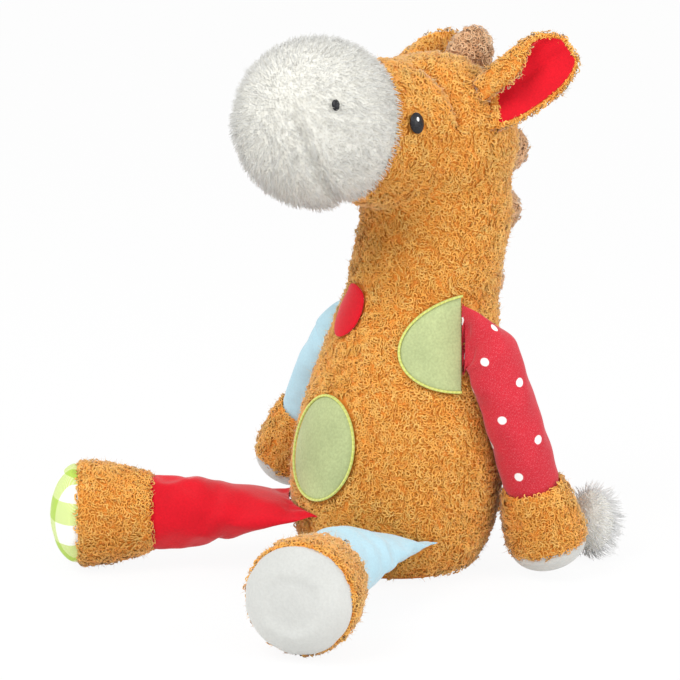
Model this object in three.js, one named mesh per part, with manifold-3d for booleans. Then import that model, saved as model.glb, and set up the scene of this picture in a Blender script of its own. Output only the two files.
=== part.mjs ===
// Plush animal toy for dogs, seated: fleece body and head, patchwork limbs, long-pile muzzle and tail.
// Millimetres, +Z up. The toy faces -Y and its left side is +X. The origin is the centre of the flat seat.
import * as THREE from 'three';
import { mergeVertices } from 'three/addons/utils/BufferGeometryUtils.js';
import { ParametricGeometry } from 'three/addons/geometries/ParametricGeometry.js';
import Module from 'manifold-3d';

const wasm = await Module();
wasm.setup();

// Clearances and cloth thicknesses
const GAP = 0.3; // between sewn pieces
const SWING_GAP = 0.6; // between pieces that turn on each other
const FLEECE = 2.5; // curly fleece
const PILE = 3; // long white pile of the muzzle
const VELOUR = 1; // sleeves, legs and linings
const PATCH = 1.2; // sewn-on patches
const EDGING = 1.9; // stitched edging of a patch, measured like the patch
const EDGING_WIDTH = 1.8;

// Torso: a pear on a flat seat, leaning back towards the neck
const SEAT_RADIUS = 34;
const HIP_RADIUS = 48;
const HIP_RISE = 14;
const BELLY_RADIUS = 53.6;
const BELLY_HEIGHT = 47;
const CHEST_RADIUS = 41.8;
const CHEST_HEIGHT = 117;
const NECK_HEIGHT = 136; // centre of the round neck seat, and of the nod
const NECK_RADIUS = 37.4;
const LEAN = 18; // how far the neck stands behind the seat
const BELLY_DEPTH = 0.95; // fore-and-aft size of the belly against its width
const SEAM_FRONT = 3; // the side seam starts this far in front of the seat
const SEAM_SLOPE = 0.353;

// Head: a round skull on a short neck, with a snout that ends at the muzzle
const COLLAR_RISE = 14; // lower edge of the head above the nod's centre
const COLLAR_RADIUS = 37.6;
const THROAT_RADIUS = 38;
const SKULL_RISE = 71; // skull's centre above the nod's centre
const SKULL_BACK = 4;
const SKULL_WIDE = 41; // half sizes of the skull
const SKULL_LONG = 45;
const SKULL_TALL = 44;
const SNOUT_LENGTH = 51.3; // skull's centre to the muzzle's seam
const SNOUT_LIFT = 11.3; // degrees above the horizon
const SNOUT_RADIUS = 33.5; // at the muzzle's seam
const SNOUT_ROOT_RADIUS = 39;
const MUZZLE_RADIUS = 39.2;
const MUZZLE_REACH = 18; // muzzle's centre in front of its seam

// Face
const EYE_WIDE = 3.6; // half sizes
const EYE_TALL = 4.8;
const EYE_PROUD = 2.4;
const EYE_ALONG = 39.5; // along the snout
const EYE_ABOVE = 6.4; // above the snout's axis
const NOSTRIL_WIDE = 1.7;
const NOSTRIL_TALL = 2.5;
const NOSTRIL_PROUD = 1.6;
const NOSTRIL_ASIDE = 65; // degrees out from the muzzle's middle
const NOSTRIL_UP = 17; // degrees up

// Ears
const EAR_LENGTH = 42;
const EAR_HALF_WIDTH = 15;
const EAR_HALF_THICK = 5;
const EAR_EDGE = 3.2; // rounded edge at the sewn base
const EAR_BASE = new THREE.Vector3(31, 10, 20); // from the skull's centre towards the base
const LEFT_EAR_AIM = new THREE.Vector3(0.396, 0.743, 0.54); // [out, back, up]
const RIGHT_EAR_AIM = new THREE.Vector3(0.2, 0.87, 0.45); // lies further back
const EAR_FACE = new THREE.Vector3(0.745, -0.6, 0.28); // where a lining looks
const EAR_RIM = 2.5; // fleece left round the lining
const EAR_SPLIT = 1; // lining's seat in front of the ear's middle

// Mane: tufts along the middle seam
const TUFT_LENGTH = 25;
const TUFT_WIDTH = 17;
const TUFT_PROUD = 18;
const HEAD_TUFTS = [31, 64, 98]; // degrees back from the top of the skull
const NECK_TUFT_RISE = 30; // above the nod's centre
const BACK_TUFT_DROP = 10; // below the nod's centre
const BACK_TUFT_PROUD = 13;

// Patches: angle round the torso from the front towards the left, height, half width and half height
const BELLY_PATCH = { angle: 1, height: 65, wide: 20.5, tall: 26.5 };
const CHEST_PATCH = { angle: -5, height: 127, wide: 11.5, tall: 12.5 };
const SHOULDER_PATCH = { angle: 87, height: 114, wide: 31, tall: 23 };

// Arms
const SLEEVE_RADIUS = 13;
const SLEEVE_SEAM_THICK = 5.5; // half thickness where the sleeve is sewn into the side seam
const SHOULDER_HEIGHT = 119;
const SHOULDER_Y = 8;
const HAND_RADIUS = 20.5; // at the palm
const HAND_LENGTH = 38.5;
const PALM_BULGE = 7;
const TUCK = 4; // how far a sleeve or leg runs into its fleece end
const SOLE_CLOTH = 1.5; // cloth of palms and soles
// Each arm's middle line as [out, back, up] from the shoulder's middle, starting inside the torso
const LEFT_ARM_ROUTE = [[-24, 1, 20], [0, 0, 0], [17, 14, -25], [20, 21.5, -49], [19.5, 28.5, -72]];
const RIGHT_ARM_ROUTE = [[-24, 0, 20], [0, 0, 0], [14, 1, -17], [28, 1, -35], [40, 1, -57]];

// Legs: wedges sewn flat into the torso, ending in a fleece foot
const LEG_SPLAY = 36; // degrees out from straight ahead
const LEG_RADIUS = 17;
const LEG_LENGTH = 64; // hip seam to the foot's cuff
const HIP_HALF_WIDTH = 26;
const HIP_EDGE = 3; // rounded edge at the hip seam
const HIP_GAP = 0.1; // edge to the torso's true round, which its facets stay inside of
const FOOT_RADIUS = 27;
const FOOT_LENGTH = 35;
const SOLE_BULGE = 13;
const FLOOR_GAP = 0.2; // under the feet

// Tail
const TAIL_HEIGHT = 22;
const TAIL_RADIUS = 5;
// The tail's middle line as [left, back, up] from its root, ending in the tuft's middle
const TAIL_ROUTE = [[0, 0, 0], [8, 15, -1], [28, 27, -3], [57, 31, -5]];
const TAIL_TUFT_LONG = 18; // half sizes
const TAIL_TUFT_THICK = 14;

// Squeaker
const BULB_RADIUS = 14;
const BULB_LENGTH = 34;
const BULB_HEIGHT = 55;
const REED_RADIUS = 3;
const REED_LENGTH = 7;
const REED_FLANGE = 5;

// Facets
const ROUND = 22; // round the torso and head
const LIMB = 12; // round a limb
const SMALL = 10;
const BEAD = 8;
const END = 14; // round a hand or foot
const END_FLAT = Math.cos(Math.PI / END); // a facet's middle against its corners

const X_AXIS = new THREE.Vector3(1, 0, 0);
const Y_AXIS = new THREE.Vector3(0, 1, 0);
const Z_AXIS = new THREE.Vector3(0, 0, 1);
const radians = THREE.MathUtils.degToRad;

// Solids and booleans

// A closed three.js geometry as a solid: corners joined, empty triangles dropped, faces turned outward.
function solid(geometry) {
  const bare = new THREE.BufferGeometry();
  bare.setAttribute('position', geometry.getAttribute('position').clone());
  bare.setIndex(geometry.index);
  const joined = mergeVertices(bare, 1e-4);
  const corners = joined.getAttribute('position');
  const faces = [];
  let volume = 0;
  const [a, b, c] = [new THREE.Vector3(), new THREE.Vector3(), new THREE.Vector3()];
  for (let i = 0; i < joined.index.count; i += 3) {
    const [p, q, r] = [0, 1, 2].map((k) => joined.index.getX(i + k));
    if (p === q || q === r || r === p) continue;
    faces.push([p, q, r]);
    a.fromBufferAttribute(corners, p);
    b.fromBufferAttribute(corners, q);
    c.fromBufferAttribute(corners, r);
    volume += a.dot(b.cross(c));
  }
  const outward = volume > 0 ? faces : faces.map(([p, q, r]) => [p, r, q]);
  return new wasm.Manifold(new wasm.Mesh({
    numProp: 3,
    vertProperties: new Float32Array(corners.array),
    triVerts: new Uint32Array(outward.flat()),
  }));
}

function geometryOf(body) {
  const mesh = body.getMesh();
  const geometry = new THREE.BufferGeometry();
  geometry.setAttribute('position', new THREE.BufferAttribute(new Float32Array(mesh.vertProperties), 3));
  geometry.setIndex(new THREE.BufferAttribute(new Uint32Array(mesh.triVerts), 1));
  return geometry;
}

// Keeps what lies beyond a plane, on the side its normal points to.
function beyond(body, normal, point, clearance = 0) {
  return body.trimByPlane(normal.toArray(), normal.dot(point) + clearance);
}

// A turned solid from (radius, height) pairs, its axis laid along a direction from a point.
function turned(profile, around, origin, direction) {
  const points = profile.map(([radius, height]) => new THREE.Vector2(radius, height));
  const geometry = new THREE.LatheGeometry(points, around);
  geometry.applyQuaternion(new THREE.Quaternion().setFromUnitVectors(Y_AXIS, direction));
  geometry.translate(origin.x, origin.y, origin.z);
  return solid(geometry);
}

// An ellipsoid with its three half sizes along three directions at right angles.
function ellipsoid(centre, directions, halfSizes, around = SMALL) {
  const geometry = new THREE.SphereGeometry(1, around, Math.round(around / 2));
  const [u, v, w] = directions.map((direction, i) => direction.clone().multiplyScalar(halfSizes[i]));
  geometry.applyMatrix4(new THREE.Matrix4().makeBasis(u, v, w).setPosition(centre));
  return solid(geometry);
}

// A limb: ellipses (half width, half thickness) at stations along a route, closed by flat ends.
// Each station is { at, across, through, wide, thick }.
function loft(stations, around) {
  const first = { ...stations[0], wide: 0, thick: 0 };
  const last = { ...stations[stations.length - 1], wide: 0, thick: 0 };
  const rings = [first, ...stations, last];
  const place = (u, v, target) => {
    const ring = rings[Math.round(v * (rings.length - 1))];
    const angle = 2 * Math.PI * (u === 1 ? 0 : u);
    target.copy(ring.at);
    target.addScaledVector(ring.across, ring.wide * Math.cos(angle));
    target.addScaledVector(ring.through, ring.thick * Math.sin(angle));
  };
  return solid(new ParametricGeometry(place, around, rings.length - 1));
}

function spread(count, make) {
  return Array.from({ length: count }, (_, i) => make(count > 1 ? i / (count - 1) : 0));
}

function blend(from, to, share) {
  return from + (to - from) * share;
}

const mirrored = (body) => body.mirror([1, 0, 0]);

// Torso

const outline = new THREE.SplineCurve([
  new THREE.Vector2(SEAT_RADIUS, 0),
  new THREE.Vector2(HIP_RADIUS, HIP_RISE),
  new THREE.Vector2(BELLY_RADIUS, BELLY_HEIGHT),
  new THREE.Vector2(CHEST_RADIUS, CHEST_HEIGHT),
  new THREE.Vector2(NECK_RADIUS, NECK_HEIGHT),
]);
const neck = new THREE.Vector3(0, LEAN, NECK_HEIGHT);

function spine(height) {
  return LEAN * THREE.MathUtils.clamp(height / NECK_HEIGHT, 0, 1) ** 2;
}

function depth(height) {
  return blend(BELLY_DEPTH, 1, THREE.MathUtils.clamp(height / NECK_HEIGHT, 0, 1));
}

// The torso's radius at a height below the neck, found along its outline.
function torsoRadius(height) {
  let [low, high] = [0, 1];
  for (let i = 0; i < 30; i += 1) {
    const middle = (low + high) / 2;
    if (outline.getPoint(middle).y < height) low = middle;
    else high = middle;
  }
  return outline.getPoint(low).x;
}

// A point on the torso at an angle from the front towards the left, moved out along the radius.
function onTorso(degrees, height, out = 0) {
  const radius = torsoRadius(height) + out;
  const angle = radians(degrees);
  return new THREE.Vector3(
    radius * Math.sin(angle),
    spine(height) - radius * Math.cos(angle) * depth(height),
    height,
  );
}

// The whole torso, grown by a distance (shrunk where it is negative): outline below, round seat above.
function torsoForm(grow) {
  const below = spread(10, (share) => {
    const point = outline.getPoint(share);
    const along = outline.getTangent(share);
    return [point.x + along.y * grow, point.y - along.x * grow];
  });
  const above = spread(6, (share) => {
    const angle = (Math.PI / 2) * share;
    return [(NECK_RADIUS + grow) * Math.cos(angle), NECK_HEIGHT + (NECK_RADIUS + grow) * Math.sin(angle)];
  });
  above[above.length - 1][0] = 0;
  const profile = [[0, below[0][1]], ...below.slice(0, -1), ...above];
  const geometry = new THREE.LatheGeometry(profile.map(([r, z]) => new THREE.Vector2(r, z)), ROUND);
  geometry.rotateX(Math.PI / 2);
  const corners = geometry.getAttribute('position');
  for (let i = 0; i < corners.count; i += 1) {
    const height = corners.getZ(i);
    corners.setY(i, corners.getY(i) * depth(height) + spine(height));
  }
  return solid(geometry);
}

const torsoOuter = torsoForm(0);
const torsoClear = torsoForm(GAP);

// The side seam's plane leans back from the front of the seat past the shoulders.
const seamNormal = new THREE.Vector3(0, 1, -SEAM_SLOPE).normalize();
const seamPoint = new THREE.Vector3(0, -SEAT_RADIUS * BELLY_DEPTH - SEAM_FRONT, 0);
const seamY = (height) => seamPoint.y + SEAM_SLOPE * height;

function frontHalf(body) {
  return beyond(body, seamNormal.clone().negate(), seamPoint, GAP / 2);
}

function backHalf(body) {
  return beyond(body, seamNormal, seamPoint, GAP / 2);
}

// Squeaker: a bulb lying across the belly on the seam's plane, with a reed in its left end
const bulbMiddle = new THREE.Vector3(0, seamY(BULB_HEIGHT), BULB_HEIGHT);
const bulbEnd = new THREE.Vector3(BULB_LENGTH / 2, 0, 0).add(bulbMiddle);

function bulbForm(grow) {
  const half = BULB_LENGTH / 2 + grow;
  const radius = BULB_RADIUS + grow;
  const profile = spread(9, (share) => {
    const angle = Math.PI * share;
    return [radius * Math.sin(angle) ** 0.6, -half * Math.cos(angle)];
  });
  profile[0][0] = 0;
  profile[8][0] = 0;
  return turned(profile, SMALL, bulbMiddle, X_AXIS);
}

function rod(radius, from, to, along, around = SMALL) {
  const profile = [[0, 0], [radius, 0], [radius, to - from], [0, to - from]];
  return turned(profile, around, along.origin.clone().addScaledVector(along.direction, from), along.direction);
}

const reedLine = { origin: bulbEnd, direction: X_AXIS };
const reedFlangeForm = (grow) => rod(REED_FLANGE + grow, -0.5 - grow, 1.5 + grow, reedLine);
const reed = rod(REED_RADIUS, -REED_LENGTH, 0, reedLine).add(reedFlangeForm(0));
const bulb = bulbForm(0)
  .subtract(rod(REED_RADIUS + GAP, -REED_LENGTH - GAP, 1, reedLine))
  .subtract(reedFlangeForm(GAP));

const torsoSkin = torsoOuter.subtract(torsoForm(-FLEECE));
const torsoFill = torsoForm(-FLEECE - GAP).subtract(bulbForm(GAP)).subtract(reedFlangeForm(GAP));

// Patches lie on the torso's skin, cut to their outline by a prism that points outward.
function prism(patch, grow) {
  const shape = new THREE.Shape();
  shape.absellipse(0, 0, patch.wide + grow, patch.tall + grow, 0, 2 * Math.PI);
  const options = { depth: 2 * BELLY_RADIUS, bevelEnabled: false, curveSegments: 9 };
  const geometry = new THREE.ExtrudeGeometry(shape, options);
  const angle = radians(patch.angle);
  const out = new THREE.Vector3(Math.sin(angle), -Math.cos(angle), 0);
  const across = new THREE.Vector3(Math.cos(angle), Math.sin(angle), 0);
  geometry.applyMatrix4(new THREE.Matrix4().makeBasis(across, Z_AXIS, out));
  geometry.translate(0, spine(patch.height), patch.height);
  return solid(geometry);
}

function onSkin(thickness) {
  return torsoForm(GAP + thickness).subtract(torsoClear);
}

const patchSkin = onSkin(PATCH);
const edgingSkin = onSkin(EDGING);

function patchPair(patch) {
  const cloth = patchSkin.intersect(prism(patch, -GAP));
  const ring = prism(patch, EDGING_WIDTH).subtract(prism(patch, 0));
  return { cloth, edging: edgingSkin.intersect(ring) };
}

// The shoulder patch stops short of the side seam, where the sleeve is sewn in.
function beforeSleeve(body) {
  const point = new THREE.Vector3(0, SHOULDER_Y - SLEEVE_SEAM_THICK - 1.5, 0);
  return beyond(body, Y_AXIS.clone().negate(), point);
}

// Head

const skull = neck.clone().add(new THREE.Vector3(0, SKULL_BACK, SKULL_RISE));
const lift = radians(SNOUT_LIFT);
const snoutAim = new THREE.Vector3(0, -Math.cos(lift), Math.sin(lift));
const snoutUp = new THREE.Vector3(0, Math.sin(lift), Math.cos(lift));
const muzzleSeam = skull.clone().addScaledVector(snoutAim, SNOUT_LENGTH);
const muzzle = muzzleSeam.clone().addScaledVector(snoutAim, MUZZLE_REACH);
const collar = new THREE.Vector3(0, LEAN, NECK_HEIGHT + COLLAR_RISE);

function snoutRadius(along) {
  return blend(SNOUT_ROOT_RADIUS, SNOUT_RADIUS, (along / SNOUT_LENGTH) ** 1.5);
}

function ball(centre, radius, around) {
  return ellipsoid(centre, [X_AXIS, Y_AXIS, Z_AXIS], [radius, radius, radius], around);
}

// Skull, neck and snout in one, grown by a distance and left long at the neck and at the muzzle.
function headForm(grow) {
  const dome = ellipsoid(
    skull,
    [X_AXIS, Y_AXIS, Z_AXIS],
    [SKULL_WIDE + grow, SKULL_LONG + grow, SKULL_TALL + grow],
    ROUND,
  );
  const column = turned([
    [0, 0],
    [COLLAR_RADIUS + grow, 0],
    [COLLAR_RADIUS + grow, COLLAR_RISE],
    [THROAT_RADIUS + grow, SKULL_RISE * 0.6],
    [THROAT_RADIUS * 0.8 + grow, SKULL_RISE],
    [0, SKULL_RISE],
  ], ROUND, neck, skull.clone().sub(neck).normalize());
  const taper = spread(3, (share) => {
    const along = blend(SNOUT_LENGTH * 0.3, SNOUT_LENGTH, share);
    return [snoutRadius(along) + grow, along];
  });
  const snout = turned([
    [0, 0],
    [SNOUT_ROOT_RADIUS * 0.8 + grow, 0],
    ...taper,
    [SNOUT_RADIUS + grow, SNOUT_LENGTH + 2],
    [0, SNOUT_LENGTH + 2],
  ], ROUND, skull, snoutAim);
  return dome.add(column).add(snout);
}

// Cuts a head form off at the neck's round seat, the collar and the muzzle's seam.
const neckCup = ball(neck, (NECK_RADIUS + SWING_GAP) / Math.cos(Math.PI / ROUND) ** 2, ROUND);

function headCut(body) {
  const above = beyond(body, Z_AXIS, collar);
  return beyond(above, snoutAim.clone().negate(), muzzleSeam).subtract(neckCup);
}

const headClear = headForm(GAP);
const headSkin = headCut(headForm(0)).subtract(headForm(-FLEECE));
const headFill = headCut(headForm(-FLEECE - GAP));

const muzzleForm = (grow) => ball(muzzle, MUZZLE_RADIUS + grow, ROUND);
const muzzleFront = (body) => beyond(body, snoutAim, muzzleSeam, GAP);
const muzzleClear = muzzleForm(GAP);
const muzzleCover = muzzleFront(muzzleForm(0).subtract(muzzleForm(-PILE)));
const muzzleFill = muzzleFront(muzzleForm(-PILE - GAP));

// Left eye on the snout's side, left nostril on the muzzle
function bead(centre, out, halfSizes, against) {
  const across = new THREE.Vector3().crossVectors(Z_AXIS, out).normalize();
  const tall = new THREE.Vector3().crossVectors(out, across);
  return ellipsoid(centre, [across, tall, out], halfSizes, BEAD).subtract(against);
}

const eyeOut = X_AXIS.clone()
  .multiplyScalar(Math.sqrt(snoutRadius(EYE_ALONG) ** 2 - EYE_ABOVE ** 2))
  .addScaledVector(snoutUp, EYE_ABOVE);
const eyeAt = skull.clone().addScaledVector(snoutAim, EYE_ALONG).add(eyeOut);
const eye = bead(eyeAt, eyeOut.normalize(), [EYE_WIDE, EYE_TALL, EYE_PROUD], headClear);

const [nostrilUp, nostrilAside] = [radians(NOSTRIL_UP), radians(NOSTRIL_ASIDE)];
const nostrilOut = new THREE.Vector3(
  Math.cos(nostrilUp) * Math.sin(nostrilAside),
  -Math.cos(nostrilUp) * Math.cos(nostrilAside),
  Math.sin(nostrilUp),
);
const nostrilAt = muzzle.clone().addScaledVector(nostrilOut, MUZZLE_RADIUS);
const nostril = bead(nostrilAt, nostrilOut, [NOSTRIL_WIDE, NOSTRIL_TALL, NOSTRIL_PROUD], muzzleClear);

// Mane tufts sit across the middle seam, cut to the skin below them.
function tuft(at, out, proud, against) {
  const along = new THREE.Vector3().crossVectors(X_AXIS, out);
  return ellipsoid(at, [X_AXIS, along, out], [TUFT_WIDTH / 2, TUFT_LENGTH / 2, proud]).subtract(against);
}

function skullTuft(degrees) {
  const angle = radians(degrees);
  const reach = new THREE.Vector3(0, SKULL_LONG * Math.sin(angle), SKULL_TALL * Math.cos(angle));
  const out = new THREE.Vector3(0, Math.sin(angle) / SKULL_LONG, Math.cos(angle) / SKULL_TALL).normalize();
  return tuft(skull.clone().add(reach), out, TUFT_PROUD, headClear);
}

const napeAt = neck.clone().add(new THREE.Vector3(0, THROAT_RADIUS, NECK_TUFT_RISE));
const napeTuft = tuft(napeAt, Y_AXIS, TUFT_PROUD, headClear);
const backTuft = tuft(onTorso(180, NECK_HEIGHT - BACK_TUFT_DROP), Y_AXIS, BACK_TUFT_PROUD, torsoClear);

// Ears: each a leaf sewn to the skull along a rounded edge, with the lining let into its face

const skullHalf = new THREE.Vector3(SKULL_WIDE, SKULL_LONG, SKULL_TALL);
const earFoot = EAR_BASE.clone().divideScalar(EAR_BASE.clone().divide(skullHalf).length());
const earNormal = earFoot.clone().divide(skullHalf).divide(skullHalf).normalize();
const earHinge = skull.clone().add(earFoot).addScaledVector(earNormal, EAR_EDGE + SWING_GAP);

// An ear on the left side, pointing along a direction.
function makeEar(direction) {
  const aim = direction.clone().normalize();
  const across = new THREE.Vector3().crossVectors(aim, EAR_FACE).normalize();
  const face = new THREE.Vector3().crossVectors(across, aim);
  const leafForm = (inset) => {
    const station = (along, wide, thick) => ({
      at: earHinge.clone().addScaledVector(aim, along),
      across,
      through: face,
      wide: wide - inset,
      thick,
    });
    const leaf = spread(7, (share) => {
      const up = 0.97 * share;
      const wide = EAR_HALF_WIDTH * (1 - Math.abs((up - 0.4) / 0.62) ** 2.5) ** 0.4;
      const thick = blend(EAR_EDGE, EAR_HALF_THICK, Math.min(1, 3 * up)) * Math.sqrt(1 - up ** 4);
      return station(EAR_LENGTH * up, wide, thick);
    });
    const edge = station(-0.8 * EAR_EDGE, leaf[0].wide - 1, 0.6 * EAR_EDGE);
    return loft(inset > 0 ? leaf.slice(1, -1) : [edge, ...leaf], LIMB);
  };
  return {
    back: beyond(leafForm(0), face.clone().negate(), earHinge, -EAR_SPLIT),
    lining: beyond(leafForm(EAR_RIM), face, earHinge, EAR_SPLIT + GAP),
  };
}

// Limbs

// The fleece end of a limb: a cover open at both ends, and the domed sole that closes it.
// radius(share) is the cover's outer radius from its cuff to its rim.
function fleeceEnd(end) {
  const steps = spread(4, (share) => share);
  const outer = steps.map((share) => [end.radius(share), end.length * share]);
  const inner = steps.map((share) => [end.radius(share) - FLEECE, end.length * share]).reverse();
  const cover = turned([...outer, ...inner, outer[0]], END, end.cuff, end.aim);
  const rim = end.length + GAP;
  const dome = (inset) => spread(4, (share) => {
    const angle = (Math.PI / 2) * share;
    const radius = share === 1 ? 0 : (end.radius(1) - inset) * Math.cos(angle);
    return [radius, rim + (end.bulge - inset) * Math.sin(angle)];
  });
  const face = dome(0);
  const sole = turned([...face, ...dome(SOLE_CLOTH).reverse(), face[0]], END, end.cuff, end.aim);
  return { cover, sole };
}

// Stations of the stuffing inside a fleece end, from behind the tucked cloth to under the sole.
function endFill(end, across, through) {
  const station = (along, radius) => ({
    at: end.cuff.clone().addScaledVector(end.aim, along),
    across,
    through,
    wide: radius,
    thick: radius,
  });
  const start = (TUCK + 2 * GAP) / end.length;
  const inside = spread(3, (share) => {
    const at = blend(start, 1, share);
    return station(at * end.length, (end.radius(at) - FLEECE) * END_FLAT - GAP);
  });
  const top = inside[inside.length - 1].wide;
  const crown = [0.35, 0.7].map((share) => {
    const angle = (Math.PI / 2) * share;
    return station(end.length + (end.bulge - SOLE_CLOTH) * Math.sin(angle), top * Math.cos(angle));
  });
  return [...inside, ...crown];
}

// A route of hand-chosen points for one arm: out from the body, back and up from the shoulder's middle.
function makeArm(side, route) {
  const height = SHOULDER_HEIGHT;
  const aside = (SHOULDER_Y - spine(height)) / depth(height);
  const shoulder = new THREE.Vector3(Math.sqrt(torsoRadius(height) ** 2 - aside ** 2), SHOULDER_Y, height);
  const points = route.map(([out, back, up]) => {
    const point = shoulder.clone().add(new THREE.Vector3(out, back, up));
    return point.setX(side * point.x);
  });
  const curve = new THREE.CatmullRomCurve3(points);
  const sewn = 1 / (route.length - 1);
  const frame = (share) => {
    const along = curve.getTangent(share);
    const across = new THREE.Vector3().crossVectors(along, Y_AXIS).normalize();
    return { along, across, through: new THREE.Vector3().crossVectors(across, along) };
  };
  const last = frame(1);
  const cuffPoint = points[points.length - 1];
  const sleeveStations = (inset, over) => {
    const bend = spread(8, (share) => {
      const { across, through } = frame(share);
      const full = THREE.MathUtils.smoothstep(share, 0.8 * sewn, 2.4 * sewn);
      return {
        at: curve.getPoint(share),
        across,
        through,
        wide: SLEEVE_RADIUS - inset,
        thick: blend(SLEEVE_SEAM_THICK, SLEEVE_RADIUS, full) - inset,
      };
    });
    const end = bend[bend.length - 1];
    return [...bend, { ...end, at: cuffPoint.clone().addScaledVector(last.along, TUCK + over) }];
  };
  const cuffRadius = (SLEEVE_RADIUS + GAP) / END_FLAT + FLEECE;
  const hand = {
    cuff: cuffPoint,
    aim: last.along,
    length: HAND_LENGTH,
    bulge: PALM_BULGE,
    radius: (share) => blend(cuffRadius, HAND_RADIUS, share) + 1.2 * Math.sin(Math.PI * share),
  };
  const { cover, sole } = fleeceEnd(hand);
  const tube = loft(sleeveStations(0, 0), LIMB).subtract(loft(sleeveStations(VELOUR, 1), LIMB));
  const inside = [...sleeveStations(VELOUR + 2 * GAP, GAP), ...endFill(hand, last.across, last.through)];
  return {
    sleeve: tube.subtract(torsoClear),
    stuffing: loft(inside, LIMB).subtract(torsoClear),
    hand: cover.subtract(torsoClear),
    palm: sole.subtract(torsoClear),
  };
}

// A leg lies along the floor: a wedge that hinges on its rounded edge at the hip seam.
function makeLeg(side) {
  const height = FOOT_RADIUS + FLOOR_GAP;
  const splay = radians(LEG_SPLAY);
  const aim = new THREE.Vector3(Math.sin(splay), -Math.cos(splay) / depth(height), 0).normalize();
  const hip = onTorso(LEG_SPLAY, height).addScaledVector(aim, HIP_EDGE + HIP_GAP);
  for (const vector of [aim, hip]) vector.x *= side;
  const across = new THREE.Vector3().crossVectors(Z_AXIS, aim);
  const station = (along, wide, thick) => ({
    at: hip.clone().addScaledVector(aim, along),
    across,
    through: Z_AXIS,
    wide,
    thick,
  });
  const wedge = (inset, over) => {
    const body = spread(5, (share) => {
      const wide = blend(HIP_HALF_WIDTH, LEG_RADIUS, THREE.MathUtils.smoothstep(share, 0, 1));
      const thick = blend(HIP_EDGE, LEG_RADIUS, share ** 0.85);
      return station(LEG_LENGTH * share, wide - inset, thick - inset);
    });
    const tuck = station(LEG_LENGTH + TUCK + over, LEG_RADIUS - inset, LEG_RADIUS - inset);
    const edge = [75, 40].map((degrees) => {
      const angle = radians(degrees);
      return station(-HIP_EDGE * Math.sin(angle), HIP_HALF_WIDTH - 1, HIP_EDGE * Math.cos(angle));
    });
    return inset > 0 ? [...body, tuck] : [...edge, ...body, tuck];
  };
  const cuffRadius = (LEG_RADIUS + GAP) / END_FLAT + FLEECE;
  const foot = {
    cuff: hip.clone().addScaledVector(aim, LEG_LENGTH),
    aim,
    length: FOOT_LENGTH,
    bulge: SOLE_BULGE,
    radius: (share) => blend(cuffRadius, FOOT_RADIUS, share) + Math.sin(Math.PI * share),
  };
  const { cover, sole } = fleeceEnd(foot);
  const inside = [...wedge(VELOUR + GAP, GAP), ...endFill(foot, across, Z_AXIS)];
  return {
    tube: loft(wedge(0, 0), LIMB).subtract(loft(wedge(VELOUR, 1), LIMB)),
    stuffing: loft(inside, LIMB),
    foot: cover,
    sole,
  };
}

// Tail: a cord from a round root behind the torso, ending in a tuft that lies beside the left hand

function makeTail() {
  const root = onTorso(180, TAIL_HEIGHT).add(new THREE.Vector3(0, TAIL_RADIUS + SWING_GAP, 0));
  const curve = new THREE.CatmullRomCurve3(
    TAIL_ROUTE.map(([aside, back, up]) => root.clone().add(new THREE.Vector3(aside, back, up))),
  );
  const rings = spread(7, (share) => {
    const along = curve.getTangent(share);
    const across = new THREE.Vector3().crossVectors(along, Z_AXIS).normalize();
    const through = new THREE.Vector3().crossVectors(across, along);
    return { at: curve.getPoint(share), across, through, wide: TAIL_RADIUS, thick: TAIL_RADIUS };
  });
  const end = rings[rings.length - 1];
  const along = curve.getTangent(1);
  const tuftForm = (grow) => ellipsoid(
    end.at,
    [along, end.across, end.through],
    [TAIL_TUFT_LONG + grow, TAIL_TUFT_THICK + grow, TAIL_TUFT_THICK + grow],
    LIMB,
  );
  const cord = loft(rings, SMALL).add(ball(root, TAIL_RADIUS, SMALL)).subtract(tuftForm(GAP));
  return { cord, tuft: tuftForm(0) };
}

// Nodes

const toy = new THREE.Group();
toy.name = 'plush_dog_toy';

function add(name, body, colour, roughness) {
  const material = new THREE.MeshStandardMaterial({ color: colour, roughness, metalness: 0 });
  const mesh = new THREE.Mesh(geometryOf(body), material);
  mesh.name = name;
  toy.add(mesh);
}

const ORANGE = 0xd8943c;
const WHITE = 0xe8e8e2;
const RED = 0xdc0c22;
const DOTTED_RED = 0xd93a50;
const BLUE = 0xbfe3ea;
const GREEN = 0xbfd990;
const LIME = 0xddeb6a;
const BROWN = 0xa97e60;
const BLACK = 0x2b2d31;
const FIBRE = 0xf4f2ec;
const PLASTIC = 0xe9edf0;

add('torso_front_panel', frontHalf(torsoSkin), ORANGE, 0.95);
add('torso_back_panel', backHalf(torsoSkin), ORANGE, 0.95);
add('torso_front_stuffing', frontHalf(torsoFill), FIBRE, 1);
add('torso_back_stuffing', backHalf(torsoFill), FIBRE, 1);
add('squeaker_bulb', bulb, PLASTIC, 0.4);
add('squeaker_reed', reed, PLASTIC, 0.4);

const belly = patchPair(BELLY_PATCH);
const shoulderPatch = patchPair(SHOULDER_PATCH);
add('belly_patch', belly.cloth, GREEN, 0.9);
add('belly_patch_edging', belly.edging, LIME, 0.8);
add('shoulder_patch', beforeSleeve(shoulderPatch.cloth), GREEN, 0.9);
add('shoulder_patch_edging', beforeSleeve(shoulderPatch.edging), LIME, 0.8);
add('chest_patch', patchSkin.intersect(prism(CHEST_PATCH, 0)), RED, 0.9);
add('mane_tuft_back', backTuft, BROWN, 0.95);

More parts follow.
